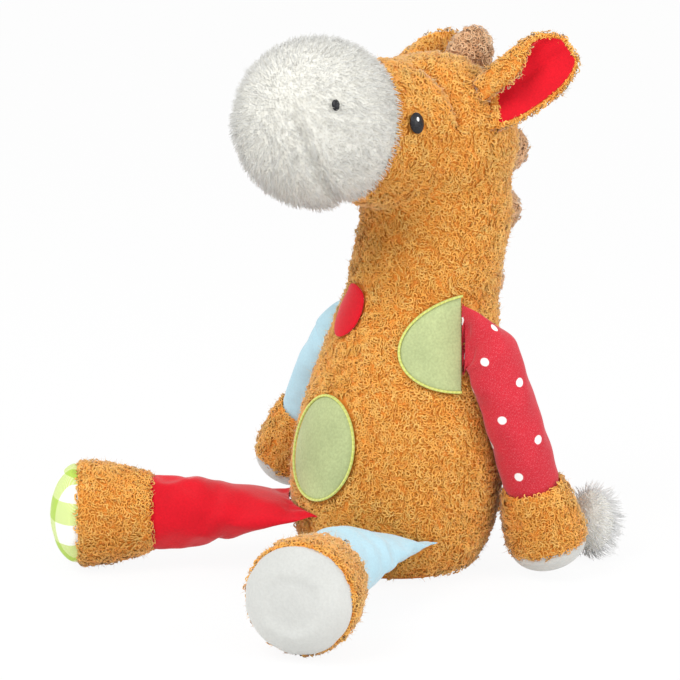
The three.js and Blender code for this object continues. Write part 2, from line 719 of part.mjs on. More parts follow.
const middle = new THREE.Vector3();
add('head_left_panel', beyond(headSkin, X_AXIS, middle, GAP / 2), ORANGE, 0.95);
add('head_right_panel', beyond(headSkin, X_AXIS.clone().negate(), middle, GAP / 2), ORANGE, 0.95);
add('head_stuffing', headFill, FIBRE, 1);
add('muzzle_cover', muzzleCover, WHITE, 0.95);
add('muzzle_stuffing', muzzleFill, FIBRE, 1);
HEAD_TUFTS.forEach((degrees, i) => add(`mane_tuft_head_${i + 1}`, skullTuft(degrees), BROWN, 0.95));
add('mane_tuft_nape', napeTuft, BROWN, 0.95);

const sides = [
  { name: 'left', side: 1, sleeve: DOTTED_RED, leg: BLUE, sole: WHITE, route: LEFT_ARM_ROUTE, aim: LEFT_EAR_AIM },
  { name: 'right', side: -1, sleeve: BLUE, leg: RED, sole: GREEN, route: RIGHT_ARM_ROUTE, aim: RIGHT_EAR_AIM },
];
for (const { name, side, sleeve, leg, sole, route, aim } of sides) {
  const place = (body) => (side > 0 ? body : mirrored(body));
  add(`${name}_eye`, place(eye), BLACK, 0.25);
  add(`${name}_nostril`, place(nostril), BLACK, 0.6);
  const ear = makeEar(aim);
  add(`${name}_ear_back`, place(ear.back), ORANGE, 0.95);
  add(`${name}_ear_lining`, place(ear.lining), RED, 0.85);
  const arm = makeArm(side, route);
  add(`${name}_sleeve`, arm.sleeve, sleeve, 0.85);
  add(`${name}_arm_stuffing`, arm.stuffing, FIBRE, 1);
  add(`${name}_hand`, arm.hand, ORANGE, 0.95);
  add(`${name}_palm`, arm.palm, WHITE, 0.9);
  const limb = makeLeg(side);
  add(`${name}_leg`, limb.tube, leg, 0.85);
  add(`${name}_leg_stuffing`, limb.stuffing, FIBRE, 1);
  add(`${name}_foot`, limb.foot, ORANGE, 0.95);
  add(`${name}_sole`, limb.sole, sole, 0.85);
}

const tail = makeTail();
add('tail_cord', tail.cord, ORANGE, 0.95);
add('tail_tuft', tail.tuft, WHITE, 0.95);

export default toy;
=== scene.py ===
"""A seated stuffed toy animal: curly fleece body, patchwork limbs, white muzzle and brown mane."""

import math

import bpy
import numpy as np
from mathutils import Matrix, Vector
from mathutils.kdtree import KDTree


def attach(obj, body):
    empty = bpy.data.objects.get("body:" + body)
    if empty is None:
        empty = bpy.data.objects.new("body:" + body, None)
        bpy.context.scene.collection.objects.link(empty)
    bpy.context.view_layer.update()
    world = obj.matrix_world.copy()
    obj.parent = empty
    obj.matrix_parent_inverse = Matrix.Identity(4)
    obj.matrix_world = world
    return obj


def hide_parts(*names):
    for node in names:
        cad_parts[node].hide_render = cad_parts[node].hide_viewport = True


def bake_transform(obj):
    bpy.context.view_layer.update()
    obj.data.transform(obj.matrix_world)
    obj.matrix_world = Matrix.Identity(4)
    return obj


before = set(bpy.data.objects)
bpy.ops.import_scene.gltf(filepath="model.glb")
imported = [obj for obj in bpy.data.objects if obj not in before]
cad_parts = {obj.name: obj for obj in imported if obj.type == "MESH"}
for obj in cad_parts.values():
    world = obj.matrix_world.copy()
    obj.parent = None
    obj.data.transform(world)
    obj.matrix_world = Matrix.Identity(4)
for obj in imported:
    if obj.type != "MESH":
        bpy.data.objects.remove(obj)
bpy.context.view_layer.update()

# Sizes in millimetres, as in the part's source; meshes turn them into metres when they are made.
MM = 0.001
# How far the skins lie below the CAD faces, which are the tops of the pile
PILE_INSET = 2.2

# Torso
NECK_HEIGHT = 136
LEAN = 18
BELLY_DEPTH = 0.95
# Heights and radii from the seat up to the neck
TORSO_OUTLINE = [
    (0, 34), (4, 41.5), (14, 48), (28, 52), (47, 53.6),
    (70, 52), (95, 47), (117, 41.8), (NECK_HEIGHT, 37.4),
]

# Head, its snout rising forwards by an angle in degrees, as the nostrils' places are
NECK = np.array([0.0, LEAN, NECK_HEIGHT])
SKULL = np.array([0, 22, 207.0])
SKULL_HALF = np.array([41, 45, 44.0])
THROAT_RADIUS = 37.6
NECK_SWAY = 6.5
NECK_SWAY_HEIGHT = 172
SNOUT_LENGTH = 51.3
SNOUT_LIFT = 11.3
SNOUT_ROOT_RADIUS = 39
SNOUT_RADIUS = 33.5
MUZZLE_RADIUS = 39.2
MUZZLE_REACH = 18
EYE_ALONG = 39.5
EYE_ABOVE = 6.4
NOSTRIL_ASIDE = 65
NOSTRIL_UP = 17

# Fleece: curled fibres in locks that lie on low lumps, with finer fibres standing off them
CURL_SPACING = 0.95
CURL_RADIUS = 1.05
CURL_YARN = 0.38
CURL_LIFT = 0.9
CURL_DIVE = 0.9
CURL_SEGMENTS = 5
CURL_SIDES = 3
CURL_SOFT = 0.82
# What a lock's curls share, as least, most and spread within it: angles in radians, other values as shares
CURL_TILT = (0, 0.8, 0.2)
CURL_SIZES = (0.75, 1.3, 0.12)
CURL_RISE = (0.2, 0.9, 0.2)
CURL_TURN = (3.4, 5.8, 0.4)
CURL_PITCH = (-1.2, 1.2, 0.2)
CURL_TONES = (-0.2, 0.2, 0.08)
LOCK_SIZE = 3.2
LUMP_SIZE = 3.3
LUMP_HEIGHT = 1.1
FUZZ_SHARE = 1.1
FUZZ_LENGTH = 1.5
FUZZ_WIDTH = 0.2
# Hairs: how much thinner their tips are, and how near ones are drawn together there
HAIR_TAPER = 0.85
CLUMP_PULL = 0.45
CLUMP_SPREAD = 0.35
TINTS = 32
WAVES = 9

# Scales of the patterns in the materials
FIBRE_STRETCH = (14, 900, 1)
FIBRE_SCALE = 900
BRUSHED_SCALE = 38
KNIT_SCALE = 420
STRAND_SHEEN = 0.3

# The short run that fills out the cloth of the limbs
FILL_PRESSURE = 4
FILL_FRAMES = 20


# Vectors and curves

def unit(vectors):
    vectors = np.asarray(vectors, float)
    return vectors / np.linalg.norm(vectors, axis=-1, keepdims=True)


def smooth_step(low, high, value):
    share = np.clip((np.asarray(value, float) - low) / (high - low), 0, 1)
    return share * share * (3 - 2 * share)


def mix(start, end, share):
    return start + (end - start) * share


def through_points(points, count):
    """Points spaced along a smooth curve through a few given points."""
    points = np.asarray(points, float)
    ends = np.vstack([2 * points[0] - points[1], points, 2 * points[-1] - points[-2]])
    found = []
    for share in np.linspace(0, len(points) - 1, count):
        index = min(int(share), len(points) - 2)
        t = share - index
        a, b, c, d = ends[index:index + 4]
        bend = 2 * b + (c - a) * t + (2 * a - 5 * b + 4 * c - d) * t**2 + (3 * b - a - 3 * c + d) * t**3
        found.append(bend / 2)
    return np.array(found)


def tangents_of(path):
    return unit(np.gradient(path, axis=0))


def frames_along(path, up):
    """Tangent, across and through directions at each point of a path."""
    along = tangents_of(path)
    across = unit(np.cross(along, np.broadcast_to(up, along.shape)))
    return along, across, np.cross(along, across)


def basis_for(normals):
    """Two directions in the skin for each normal."""
    helper = np.where(np.abs(normals[:, 2:3]) < 0.9, [[0.0, 0, 1]], [[1.0, 0, 0]])
    first = unit(np.cross(helper, normals))
    return first, np.cross(normals, first)


# Meshes

def turns(count):
    """Angles evenly round a circle, the first one not repeated."""
    return np.linspace(0, 2 * math.pi, count, endpoint=False)


def rings(path, across, through, wide, thick, around):
    """Closed rings of points round a path, with directions and half sizes for all or for each point."""
    angle = turns(around)[:, None]
    across, through = (np.broadcast_to(line, path.shape)[:, None] for line in (across, through))
    wide, thick = (np.broadcast_to(half, len(path))[:, None, None] for half in (wide, thick))
    return path[:, None] + across * wide * np.cos(angle) + through * thick * np.sin(angle)


def tube(ring_points, start=None, end=None):
    """Points and faces of a tube through rings, closed by fans to the start and end points given."""
    count, around = ring_points.shape[:2]
    points = list(ring_points.reshape(-1, 3))
    faces = strip_quads(1, count - 1, around)[0].tolist()
    if start is not None:
        points.append(np.asarray(start, float))
        faces += [((j + 1) % around, j, len(points) - 1) for j in range(around)]
    if end is not None:
        points.append(np.asarray(end, float))
        base = (count - 1) * around
        faces += [(base + j, base + (j + 1) % around, len(points) - 1) for j in range(around)]
    return np.array(points), faces


def ball(centre, half, count=28, around=40):
    """Points and faces of an ellipsoid with poles up and down."""
    polar = np.linspace(0, math.pi, count + 1)[1:-1]
    centre = np.asarray(centre, float)
    half = np.broadcast_to(half, 3)
    path = centre + np.outer(-np.cos(polar), [0, 0, half[2]])
    shell = rings(path, [1, 0, 0], [0, 1, 0], half[0] * np.sin(polar), half[1] * np.sin(polar), around)
    return tube(shell, centre - [0, 0, half[2]], centre + [0, 0, half[2]])


def new_mesh(name, points, faces):
    mesh = bpy.data.meshes.new(name)
    mesh.from_pydata((np.asarray(points) * MM).tolist(), [], [tuple(map(int, face)) for face in faces])
    mesh.update()
    return mesh


def map_corners(mesh, layer, places):
    mesh.uv_layers.new(name=layer).data.foreach_set("uv", places.astype(np.float32).ravel())


def quad_mesh(name, points, quads, corner_uvs):
    """A mesh of many quads, with one texture place per corner."""
    mesh = bpy.data.meshes.new(name)
    mesh.vertices.add(len(points))
    mesh.vertices.foreach_set("co", (points * MM).astype(np.float32).ravel())
    mesh.loops.add(quads.size)
    mesh.loops.foreach_set("vertex_index", quads.astype(np.int32).ravel())
    mesh.polygons.add(len(quads))
    mesh.polygons.foreach_set("loop_start", np.arange(0, quads.size, 4, dtype=np.int32))
    map_corners(mesh, "OFBake", corner_uvs)
    mesh.update(calc_edges=True)
    return mesh


def piece(name, mesh, *materials):
    mesh.name = name
    obj = bpy.data.objects.new(name, mesh)
    bpy.context.scene.collection.objects.link(obj)
    for material in materials:
        mesh.materials.append(material)
    mesh.polygons.foreach_set("use_smooth", np.ones(len(mesh.polygons), bool))
    return obj


def shaped(name, points, faces, material):
    return piece(name, new_mesh(name, points, faces), material)


def finished(obj):
    """Applies an object's modifiers to its mesh."""
    graph = bpy.context.evaluated_depsgraph_get()
    graph.update()
    mesh = bpy.data.meshes.new_from_object(obj.evaluated_get(graph))
    old = obj.data
    obj.modifiers.clear()
    obj.data = mesh
    bpy.data.meshes.remove(old)
    mesh.name = obj.name
    return obj


def rounded(obj):
    obj.modifiers.new("round", "SUBSURF").levels = 1
    return finished(obj)


def fused(name, shells, voxel, passes, material):
    """One smooth skin round overlapping closed shells of points and faces."""
    points, faces = [], []
    for shell_points, shell_faces in shells:
        offset = sum(len(group) for group in points)
        points.append(shell_points)
        faces += [tuple(int(corner) + offset for corner in face) for face in shell_faces]
    obj = shaped(name, np.vstack(points), faces, material)
    remesh = obj.modifiers.new("fuse", "REMESH")
    remesh.mode = "VOXEL"
    remesh.voxel_size = voxel * MM
    soften = obj.modifiers.new("soften", "SMOOTH")
    soften.factor = 0.5
    soften.iterations = passes
    obj = finished(obj)
    obj.data.polygons.foreach_set("use_smooth", np.ones(len(obj.data.polygons), bool))
    return obj


def filled_out(obj, held, slack, cap):
    """Lets cloth with some slack fill out between its held points, no point moving more than the cap."""
    group = obj.vertex_groups.new(name="held")
    group.add([int(index) for index in held], 1.0, "REPLACE")
    cloth = obj.modifiers.new("fill", "CLOTH")
    cloth.settings.vertex_group_mass = group.name
    cloth.settings.use_pressure = True
    cloth.settings.uniform_pressure_force = FILL_PRESSURE
    cloth.settings.shrink_min = -slack
    cloth.settings.effector_weights.gravity = 0
    cloth.collision_settings.use_collision = False
    cloth.point_cache.frame_start = 1
    cloth.point_cache.frame_end = FILL_FRAMES
    before = points_of(obj.data)
    for step in range(1, FILL_FRAMES + 1):
        bpy.context.scene.frame_set(step)
    obj = finished(obj)
    moves = points_of(obj.data) - before
    reach = np.linalg.norm(moves, axis=1, keepdims=True)
    move_points(obj, before + moves * np.minimum(1, cap / np.maximum(reach, 1e-9)))
    bpy.context.scene.frame_set(1)
    return obj


def vectors_of(mesh, kind):
    flat = np.empty(len(mesh.vertices) * 3, np.float32)
    mesh.vertices.foreach_get(kind, flat)
    return flat.reshape(-1, 3).astype(float)


def points_of(mesh):
    return vectors_of(mesh, "co") / MM


def normals_of(mesh):
    return vectors_of(mesh, "normal")


def move_points(obj, points):
    obj.data.vertices.foreach_set("co", (points * MM).astype(np.float32).ravel())
    obj.data.update()


# Pile: points spread over a skin, with curls or hairs on them

def thinned(points, spacing):
    """Indices of the points that keep a distance from those chosen before them."""
    cells = {}
    chosen = []
    around = [(i, j, k) for i in (-1, 0, 1) for j in (-1, 0, 1) for k in (-1, 0, 1)]
    keys = np.floor(points / spacing).astype(int).tolist()
    for index, (point, (x, y, z)) in enumerate(zip(points.tolist(), keys)):
        near = (other for i, j, k in around for other in cells.get((x + i, y + j, z + k), ()))
        if all(math.dist(point, other) >= spacing for other in near):
            cells.setdefault((x, y, z), []).append(point)
            chosen.append(index)
    return np.array(chosen, int)


def nearest(points, among):
    """For each point, the index of the nearest one among others."""
    tree = KDTree(len(among))
    for index, other in enumerate(among):
        tree.insert(Vector(other), index)
    tree.balance()
    return np.array([tree.find(Vector(point))[1] for point in points])


def spread_over(mesh, spacing, seed, keep=None):
    """Points spread evenly over a mesh, in millimetres, and the skin's normals there."""
    rng = np.random.default_rng(seed)
    mesh.calc_loop_triangles()
    corners, normals = points_of(mesh), normals_of(mesh)
    triangles = np.empty(len(mesh.loop_triangles) * 3, np.int32)
    mesh.loop_triangles.foreach_get("vertices", triangles)
    triangles = triangles.reshape(-1, 3)
    a, b, c = (corners[triangles[:, i]] for i in range(3))
    area = np.linalg.norm(np.cross(b - a, c - a), axis=1) / 2
    picked = rng.choice(len(area), int(3.2 * area.sum() / spacing**2), p=area / area.sum())
    root, other = np.sqrt(rng.random(len(picked))), rng.random(len(picked))
    shares = np.stack([1 - root, root * (1 - other), root * other], 1)
    points = np.einsum("nk,nkd->nd", shares, corners[triangles[picked]])
    out = unit(np.einsum("nk,nkd->nd", shares, normals[triangles[picked]]))
    if keep is not None:
        kept = keep(points, out)
        points, out = points[kept], out[kept]
    chosen = thinned(points, spacing)
    return points[chosen], out[chosen]


def spokes(first, second, angles):
    """Directions round a strand, at angles from the first of two directions across it to the second."""
    return first[..., None, :] * np.cos(angles)[:, None] + second[..., None, :] * np.sin(angles)[:, None]


def strip_quads(count, steps, around):
    """Corner indices of the quads of many like tubes, and their (along, around) places."""
    i, j = np.meshgrid(np.arange(steps), np.arange(around), indexing="ij")
    i, j = i.ravel(), j.ravel()
    k = (j + 1) % around
    one = np.stack([i * around + j, i * around + k, (i + 1) * around + k, (i + 1) * around + j], 1)
    offsets = np.arange(count)[:, None, None] * (steps + 1) * around
    along = np.stack([i, i, i + 1, i + 1], 1) / steps
    over = np.stack([j, j + 1, j + 1, j], 1) / around
    return (one[None] + offsets).reshape(-1, 4), along, over


def tint_places(tints, along, over):
    """Texture places: along the strand sideways, and the strand's tint as one of many rows."""
    count = len(tints)
    u = np.broadcast_to(0.02 + 0.96 * along, (count, *along.shape))
    v = (tints[:, None, None] + 0.15 + 0.7 * over) / TINTS
    return np.stack([u, v], -1).reshape(-1, 2)


def waves_for(size, seed):
    """Random plane waves of about one length, for soft lumps over a skin."""
    rng = np.random.default_rng(seed)
    return unit(rng.normal(size=(WAVES, 3))) * 2 * math.pi / size * rng.uniform(0.75, 1.35, (WAVES, 1))


LUMP_WAVES = waves_for(LUMP_SIZE, 7)
TONE_WAVES = waves_for(5 * LUMP_SIZE, 8)


def swell(points, waves):
    """A smooth random height over points, mostly between -1 and 1."""
    return 2 * np.sin(points @ waves.T + np.arange(len(waves))).mean(1)


def row_of(tones):
    return np.clip((np.asarray(tones) * TINTS).astype(int), 0, TINTS - 1)


def nearest_leader(at, apart):
    """For each point, the index of the nearest of some of them that keep a distance from each other."""
    leaders = thinned(at, apart)
    return leaders[nearest(at, at[leaders])]


def hair_strands(at, normals, aims, lengths, width, seed, bend, soft, steps=3, clump=0, tones=None):
    """Thin tapering hairs from points along aims; clump draws the tips of near ones together."""
    rng = np.random.default_rng(seed)
    count = len(at)
    lengths = np.broadcast_to(lengths, count)[:, None]
    tips = at + (aims + bend) * lengths
    if clump:
        leader = nearest_leader(at, clump)
        tips = mix(tips, tips[leader] + CLUMP_SPREAD * (at - at[leader]), CLUMP_PULL)
    share = np.linspace(0, 1, steps + 1)[None, :, None]
    chord = tips - at
    arch = aims * lengths - chord
    middle = at[:, None] + chord[:, None] * share + arch[:, None] * share * (1 - share)
    flat = unit(np.cross(aims, rng.normal(size=(count, 3))))
    deep = np.cross(unit(chord), flat)
    half = width / 2 * rng.uniform(0.75, 1.25, (count, 1, 1)) * (1 - HAIR_TAPER * share**1.6)
    ring = spokes(flat, deep, turns(3))
    points = middle[:, :, None] + ring[:, None] * half[..., None]
    quads, along, over = strip_quads(count, steps, 3)
    tints = rng.integers(0, TINTS, count) if tones is None else row_of(tones)
    shading = unit(soft * normals[:, None] + (1 - soft) * ring)
    shading = np.repeat(shading[:, None], steps + 1, 1)
    return points.reshape(-1, 3), quads, tint_places(tints, along, over), shading.reshape(-1, 3)


def curl_strands(at, normals, seed, radius):
    """Curled fibres in locks on a skin, their ends tucked in, and the finer ones that stand off them."""
    rng = np.random.default_rng(seed)
    count = len(at)
    lock = nearest_leader(at, LOCK_SIZE)

    def like_lock(low, high, spread):
        return (rng.uniform(low, high, count)[lock] + rng.normal(0, spread, count))[:, None]

    tones = tone_at(at)
    height = swell(at, LUMP_WAVES)
    at = at + normals * (LUMP_HEIGHT * (height + 0.3))[:, None]
    first, second = basis_for(normals)
    turn = like_lock(0, 2 * math.pi, 0.4)
    side = np.cos(turn) * first + np.sin(turn) * second
    other = np.cos(turn) * second - np.sin(turn) * first
    tilt = like_lock(*CURL_TILT)
    top = np.cos(tilt) * other + np.sin(tilt) * normals
    axis = np.cross(side, top)
    size = radius * np.maximum(like_lock(*CURL_SIZES), 0.5)
    centre = at - top * size * 0.6 + normals * CURL_LIFT * like_lock(*CURL_RISE)
    share = np.linspace(0, 1, CURL_SEGMENTS + 1)
    angle = like_lock(*CURL_TURN) * (share - 0.5)
    pitch = like_lock(*CURL_PITCH) * size
    outward = np.cos(angle)[..., None] * top[:, None] + np.sin(angle)[..., None] * side[:, None]
    middle = centre[:, None] + outward * size[:, None] + axis[:, None] * (pitch * (share - 0.5))[..., None]
    middle = middle - normals[:, None] * (CURL_DIVE * (2 * share - 1) ** 2)[None, :, None]
    thick = CURL_YARN * rng.uniform(0.8, 1.15, (count, 1)) * (1 - 0.6 * np.abs(2 * share - 1) ** 3)
    ring = spokes(outward, axis[:, None], turns(CURL_SIDES) + math.pi / 4)
    points = middle[:, :, None] + ring * thick[:, :, None, None]
    quads, along, over = strip_quads(count, CURL_SEGMENTS, CURL_SIDES)
    shading = unit(CURL_SOFT * normals[:, None, None] + (1 - CURL_SOFT) * ring)
    # Painted light and shade: curls on the tops of the lumps are painted lighter and those in the hollows
    # between them darker; the slow and per-lock changes of tone are the fleece's own
    tones = tones + like_lock(*CURL_TONES)[:, 0] + 0.26 * height
    coils = points.reshape(-1, 3), quads, tint_places(row_of(tones), along, over), shading.reshape(-1, 3)

    owner = rng.integers(0, count, int(count * FUZZ_SHARE))
    knot = rng.integers(1, CURL_SEGMENTS, len(owner))
    aims = unit(0.6 * normals[owner] + 0.7 * outward[owner, knot] + rng.normal(0, 0.6, (len(owner), 3)))
    fuzz = hair_strands(
        middle[owner, knot],
        normals[owner],
        aims,
        FUZZ_LENGTH * rng.uniform(0.6, 1.4, len(owner)),
        FUZZ_WIDTH,
        seed + 500,
        bend=rng.normal(0, 0.45, (len(owner), 3)),
        soft=0.7,
        # The fuzz is painted a little lighter than the curl it stands off, as painted light on the highest
        # fibres
        tones=tones[owner] + 0.05,
    )
    return coils, fuzz


def strands(name, material, *parts):
    """One piece of many strands, with shading normals of its own."""
    offsets = np.cumsum([0] + [len(part[0]) for part in parts])
    points = np.vstack([part[0] for part in parts])
    quads = np.vstack([part[1] + offset for part, offset in zip(parts, offsets)])
    mesh = quad_mesh(name, points, quads, np.vstack([part[2] for part in parts]))
    obj = piece(name, mesh, material)
    mesh.normals_split_custom_set_from_vertices(np.vstack([part[3] for part in parts]).tolist())
    return obj


def tone_at(points):
    """Slow changes of tone over a skin, about a half."""
    return 0.5 + 0.1 * swell(points, TONE_WAVES)


def curls(name, at, normals, material, seed, radius=CURL_RADIUS):
    return strands(name, material, *curl_strands(at, normals, seed, radius))


# Materials

def colour(red, green, blue):
    """A colour written as the screen shows it, turned into the linear one that shaders take."""
    share = np.array([red, green, blue]) / 255
    linear = np.where(share <= 0.04045, share / 12.92, ((share + 0.055) / 1.055) ** 2.4)
    return (*linear.tolist(), 1.0)


def new_material(name, roughness, sheen=0.0, specular=0.2):
    material = bpy.data.materials.new(name)
    material.use_nodes = True
    shader = material.node_tree.nodes["Principled BSDF"]
    shader.inputs["Roughness"].default_value = roughness
    shader.inputs["Sheen Weight"].default_value = sheen
    shader.inputs["Sheen Roughness"].default_value = 0.4
    shader.inputs["Specular IOR Level"].default_value = specular
    return material, material.node_tree, shader


def node(tree, kind, inputs, **properties):
    made = tree.nodes.new(kind)
    for key, value in properties.items():
        setattr(made, key, value)
    for key, value in inputs.items():
        if isinstance(value, bpy.types.NodeSocket):
            tree.links.new(value, made.inputs[key])
        else:
            made.inputs[key].default_value = value
    return made


def maths(tree, operation, first, second=0.0):
    return node(tree, "ShaderNodeMath", {0: first, 1: second}, operation=operation).outputs[0]


def mixed(tree, share, first, second, blend="MIX"):
    colours = {0: share, 6: first, 7: second}
    return node(tree, "ShaderNodeMix", colours, data_type="RGBA", blend_type=blend).outputs[2]


def multiplied(tree, first, *others):
    for other in others:
        first = mixed(tree, 1.0, first, other, "MULTIPLY")
    return first


def ramp(tree, share, stops):
    made = node(tree, "ShaderNodeValToRGB", {0: share})
    while len(made.color_ramp.elements) < len(stops):
        made.color_ramp.elements.new(0.5)
    for element, (place, tone) in zip(made.color_ramp.elements, stops):
        element.position = place
        element.color = tone
    return made.outputs[0]


def grey(level):
    return (level, level, level, 1.0)


def noise(tree, vector, scale, detail=2.0):
    made = node(tree, "ShaderNodeTexNoise", {"Vector": vector, "Scale": scale, "Detail": detail})
    return made.outputs[0]


def vector_maths(tree, operation, first, second=(0, 0, 0), output=0):
    made = node(tree, "ShaderNodeVectorMath", {0: first, 1: second}, operation=operation)
    return made.outputs[output]


def place_on(tree, uv_name):
    return node(tree, "ShaderNodeUVMap", {}, uv_map=uv_name).outputs[0]


def object_place(tree):
    return node(tree, "ShaderNodeTexCoord", {}).outputs["Object"]


def painted(tree, shader, shown):
    tree.links.new(shown, shader.inputs["Base Color"])


def bumped(tree, shader, height, strength, distance):
    made = node(tree, "ShaderNodeBump", {"Height": height, "Strength": strength, "Distance": distance * MM})
    tree.links.new(made.outputs[0], shader.inputs["Normal"])


def strand_material(name, tints, along, roughness=0.85, glow=(0.0, 0.0, 0.0), dull=0.86):
    """Yarn or hair: a tint for each strand, darkened along its length by painted shade where it meets the
    skin or cloth, with fine fibres across.

    Light spreads within the pile as far as glow says, in millimetres of red, green and blue.
    """
    material, tree, shader = new_material(name, roughness, STRAND_SHEEN, 0.15)
    shader.inputs["Subsurface Weight"].default_value = 0.35 if max(glow) > 0 else 0.0
    shader.inputs["Subsurface Radius"].default_value = glow
    shader.inputs["Subsurface Scale"].default_value = MM
    uv = place_on(tree, "OFBake")
    parts = node(tree, "ShaderNodeSeparateXYZ", {0: uv})
    row = maths(tree, "FLOOR", maths(tree, "MULTIPLY", parts.outputs[1], TINTS))
    tint = ramp(tree, maths(tree, "DIVIDE", row, TINTS), tints)
    shade = ramp(tree, parts.outputs[0], [(place, grey(level)) for place, level in along])
    fibre = noise(tree, vector_maths(tree, "MULTIPLY", uv, FIBRE_STRETCH), 1.0)
    fine = ramp(tree, fibre, [(0.3, grey(dull)), (0.7, grey(1.0))])
    painted(tree, shader, multiplied(tree, tint, shade, fine))
    return material


def pile_cloth(tree, base, lift, brushed_scale=BRUSHED_SCALE, fibre_scale=FIBRE_SCALE):
    """Colour of a short-pile cloth: brushed patches and fine fibres over its base colour."""
    place = object_place(tree)
    patches = noise(tree, place, brushed_scale, 3.0)
    brushed = ramp(tree, patches, [(0.3, grey(1 - lift)), (0.72, grey(1.0))])
    fibres = noise(tree, place, fibre_scale, 3.0)
    fine = ramp(tree, fibres, [(0.3, grey(1 - 0.8 * lift)), (0.7, grey(1.0))])
    return multiplied(tree, base, brushed, fine), fibres


def velour_material(name, base, lift=0.16, roughness=0.8, sheen=0.35):
    material, tree, shader = new_material(name, roughness, sheen)
    shown, fibres = pile_cloth(tree, base, lift)
    painted(tree, shader, shown)
    bumped(tree, shader, fibres, 0.35, 0.35)
    return material


def ground_material(name, dark, light):
    """Knitted ground under the pile, mostly hidden by it."""
    material, tree, shader = new_material(name, 0.95)
    grain = noise(tree, object_place(tree), KNIT_SCALE, 3.0)
    painted(tree, shader, ramp(tree, grain, [(0.35, dark), (0.7, light)]))
    bumped(tree, shader, grain, 0.8, 1.0)
    return material


FLEECE_DARK, FLEECE_MID, FLEECE_LIGHT = colour(243, 148, 57), colour(254, 174, 79), colour(255, 194, 105)
BROWN_DARK, BROWN_MID, BROWN_LIGHT = colour(180, 126, 84), colour(232, 178, 132), colour(250, 210, 168)
# Painted shade along the strands: curls darker at both ends, where they dip into the pile, hairs darker at
# their roots
CURL_SHADE = [(0.0, 0.9), (0.25, 0.98), (0.5, 1.0), (0.75, 0.98), (1.0, 0.9)]
HAIR_SHADE = [(0.0, 0.88), (0.4, 0.97), (1.0, 1.0)]

FLEECE_GLOW, WHITE_GLOW = (0.5, 0.5, 0.5), (3.0, 2.9, 2.7)

fleece = strand_material(
    "fleece", [(0, FLEECE_DARK), (0.45, FLEECE_MID), (1, FLEECE_LIGHT)], CURL_SHADE, glow=FLEECE_GLOW
)
fleece_ground = ground_material("fleece_ground", colour(218, 130, 47), colour(246, 158, 68))
mane_pile = strand_material(
    "mane_pile", [(0, BROWN_DARK), (0.5, BROWN_MID), (1, BROWN_LIGHT)], CURL_SHADE, glow=FLEECE_GLOW
)
mane_ground = ground_material("mane_ground", colour(160, 116, 84), colour(200, 156, 122))
white_pile = strand_material(
    "white_pile",
    [(0, colour(230, 227, 215)), (0.5, colour(239, 238, 229)), (1, colour(246, 246, 240))],
    HAIR_SHADE,
    glow=WHITE_GLOW,
)
# The tail's hair, painted lighter than the muzzle's and with almost no painted shade along it: a lit copy
# of the white hair that makes up for the shade its close hairs cast on one another
lit_tail_pile = strand_material(
    "lit_tail_pile",
    [(0, colour(250, 250, 246)), (1, colour(255, 255, 255))],
    [(0.0, 0.97), (1.0, 1.0)],
    glow=WHITE_GLOW,
    dull=0.97,
)
white_ground = ground_material("white_ground", colour(224, 222, 212), colour(236, 235, 227))
red_velour = velour_material("red_velour", colour(222, 10, 34))
blue_velour = velour_material("blue_velour", colour(186, 224, 238), 0.1)
green_velour = velour_material("green_velour", colour(194, 207, 150), 0.24)
white_velour = velour_material("white_velour", colour(206, 207, 203), 0.1)
edging_thread = strand_material(
    "edging_thread",
    [(0, colour(214, 224, 112)), (1, colour(236, 242, 150))],
    # Painted shade at both ends of each stitch, where it goes into the cloth
    [(0.0, 0.8), (0.5, 1.0), (1.0, 0.8)],
    0.45,
)

# The torso, and the head above it

def spine(height):
    return LEAN * np.clip(np.asarray(height, float) / NECK_HEIGHT, 0, 1) ** 2


def depth(height):
    return mix(BELLY_DEPTH, 1, np.clip(np.asarray(height, float) / NECK_HEIGHT, 0, 1))


TORSO_PROFILE = through_points([(radius, height) for height, radius in TORSO_OUTLINE], 60)
SKIN_AROUND = 56


def torso_radius(height):
    return np.interp(height, TORSO_PROFILE[:, 1], TORSO_PROFILE[:, 0])


def on_torso(degrees, height, out=0.0):
    """Points on the torso at angles from the front towards the left, moved out along the radius."""
    angle = np.radians(degrees)
    radius = torso_radius(height) + out
    height = np.broadcast_to(height, np.shape(angle))
    return np.stack(
        [radius * np.sin(angle), spine(height) - radius * np.cos(angle) * depth(height), height], -1
    )


def torso_shell(inset):
    heights = np.concatenate([[1.2, 3], np.linspace(7, NECK_HEIGHT, 22)])
    degrees = np.linspace(0, 360, SKIN_AROUND, endpoint=False)
    shell = np.stack([on_torso(degrees, height, -inset) for height in heights])
    shell[0] = on_torso(degrees, heights[0], -inset - 3)
    return tube(shell, [0, 0, heights[0]], NECK + [0, 0, 6])


SNOUT_AIM = np.array([0, -math.cos(math.radians(SNOUT_LIFT)), math.sin(math.radians(SNOUT_LIFT))])
SNOUT_TOP = np.array([0, math.sin(math.radians(SNOUT_LIFT)), math.cos(math.radians(SNOUT_LIFT))])
MUZZLE_SEAM = SKULL + SNOUT_AIM * SNOUT_LENGTH
MUZZLE = MUZZLE_SEAM + SNOUT_AIM * MUZZLE_REACH


def snout_radius(along):
    return mix(SNOUT_ROOT_RADIUS, SNOUT_RADIUS, (along / SNOUT_LENGTH) ** 1.5)


def neck_sway(height):
    """How far the stuffed neck bulges towards the nape."""
    return NECK_SWAY * np.exp(-(((height - NECK_SWAY_HEIGHT) / 20) ** 2))


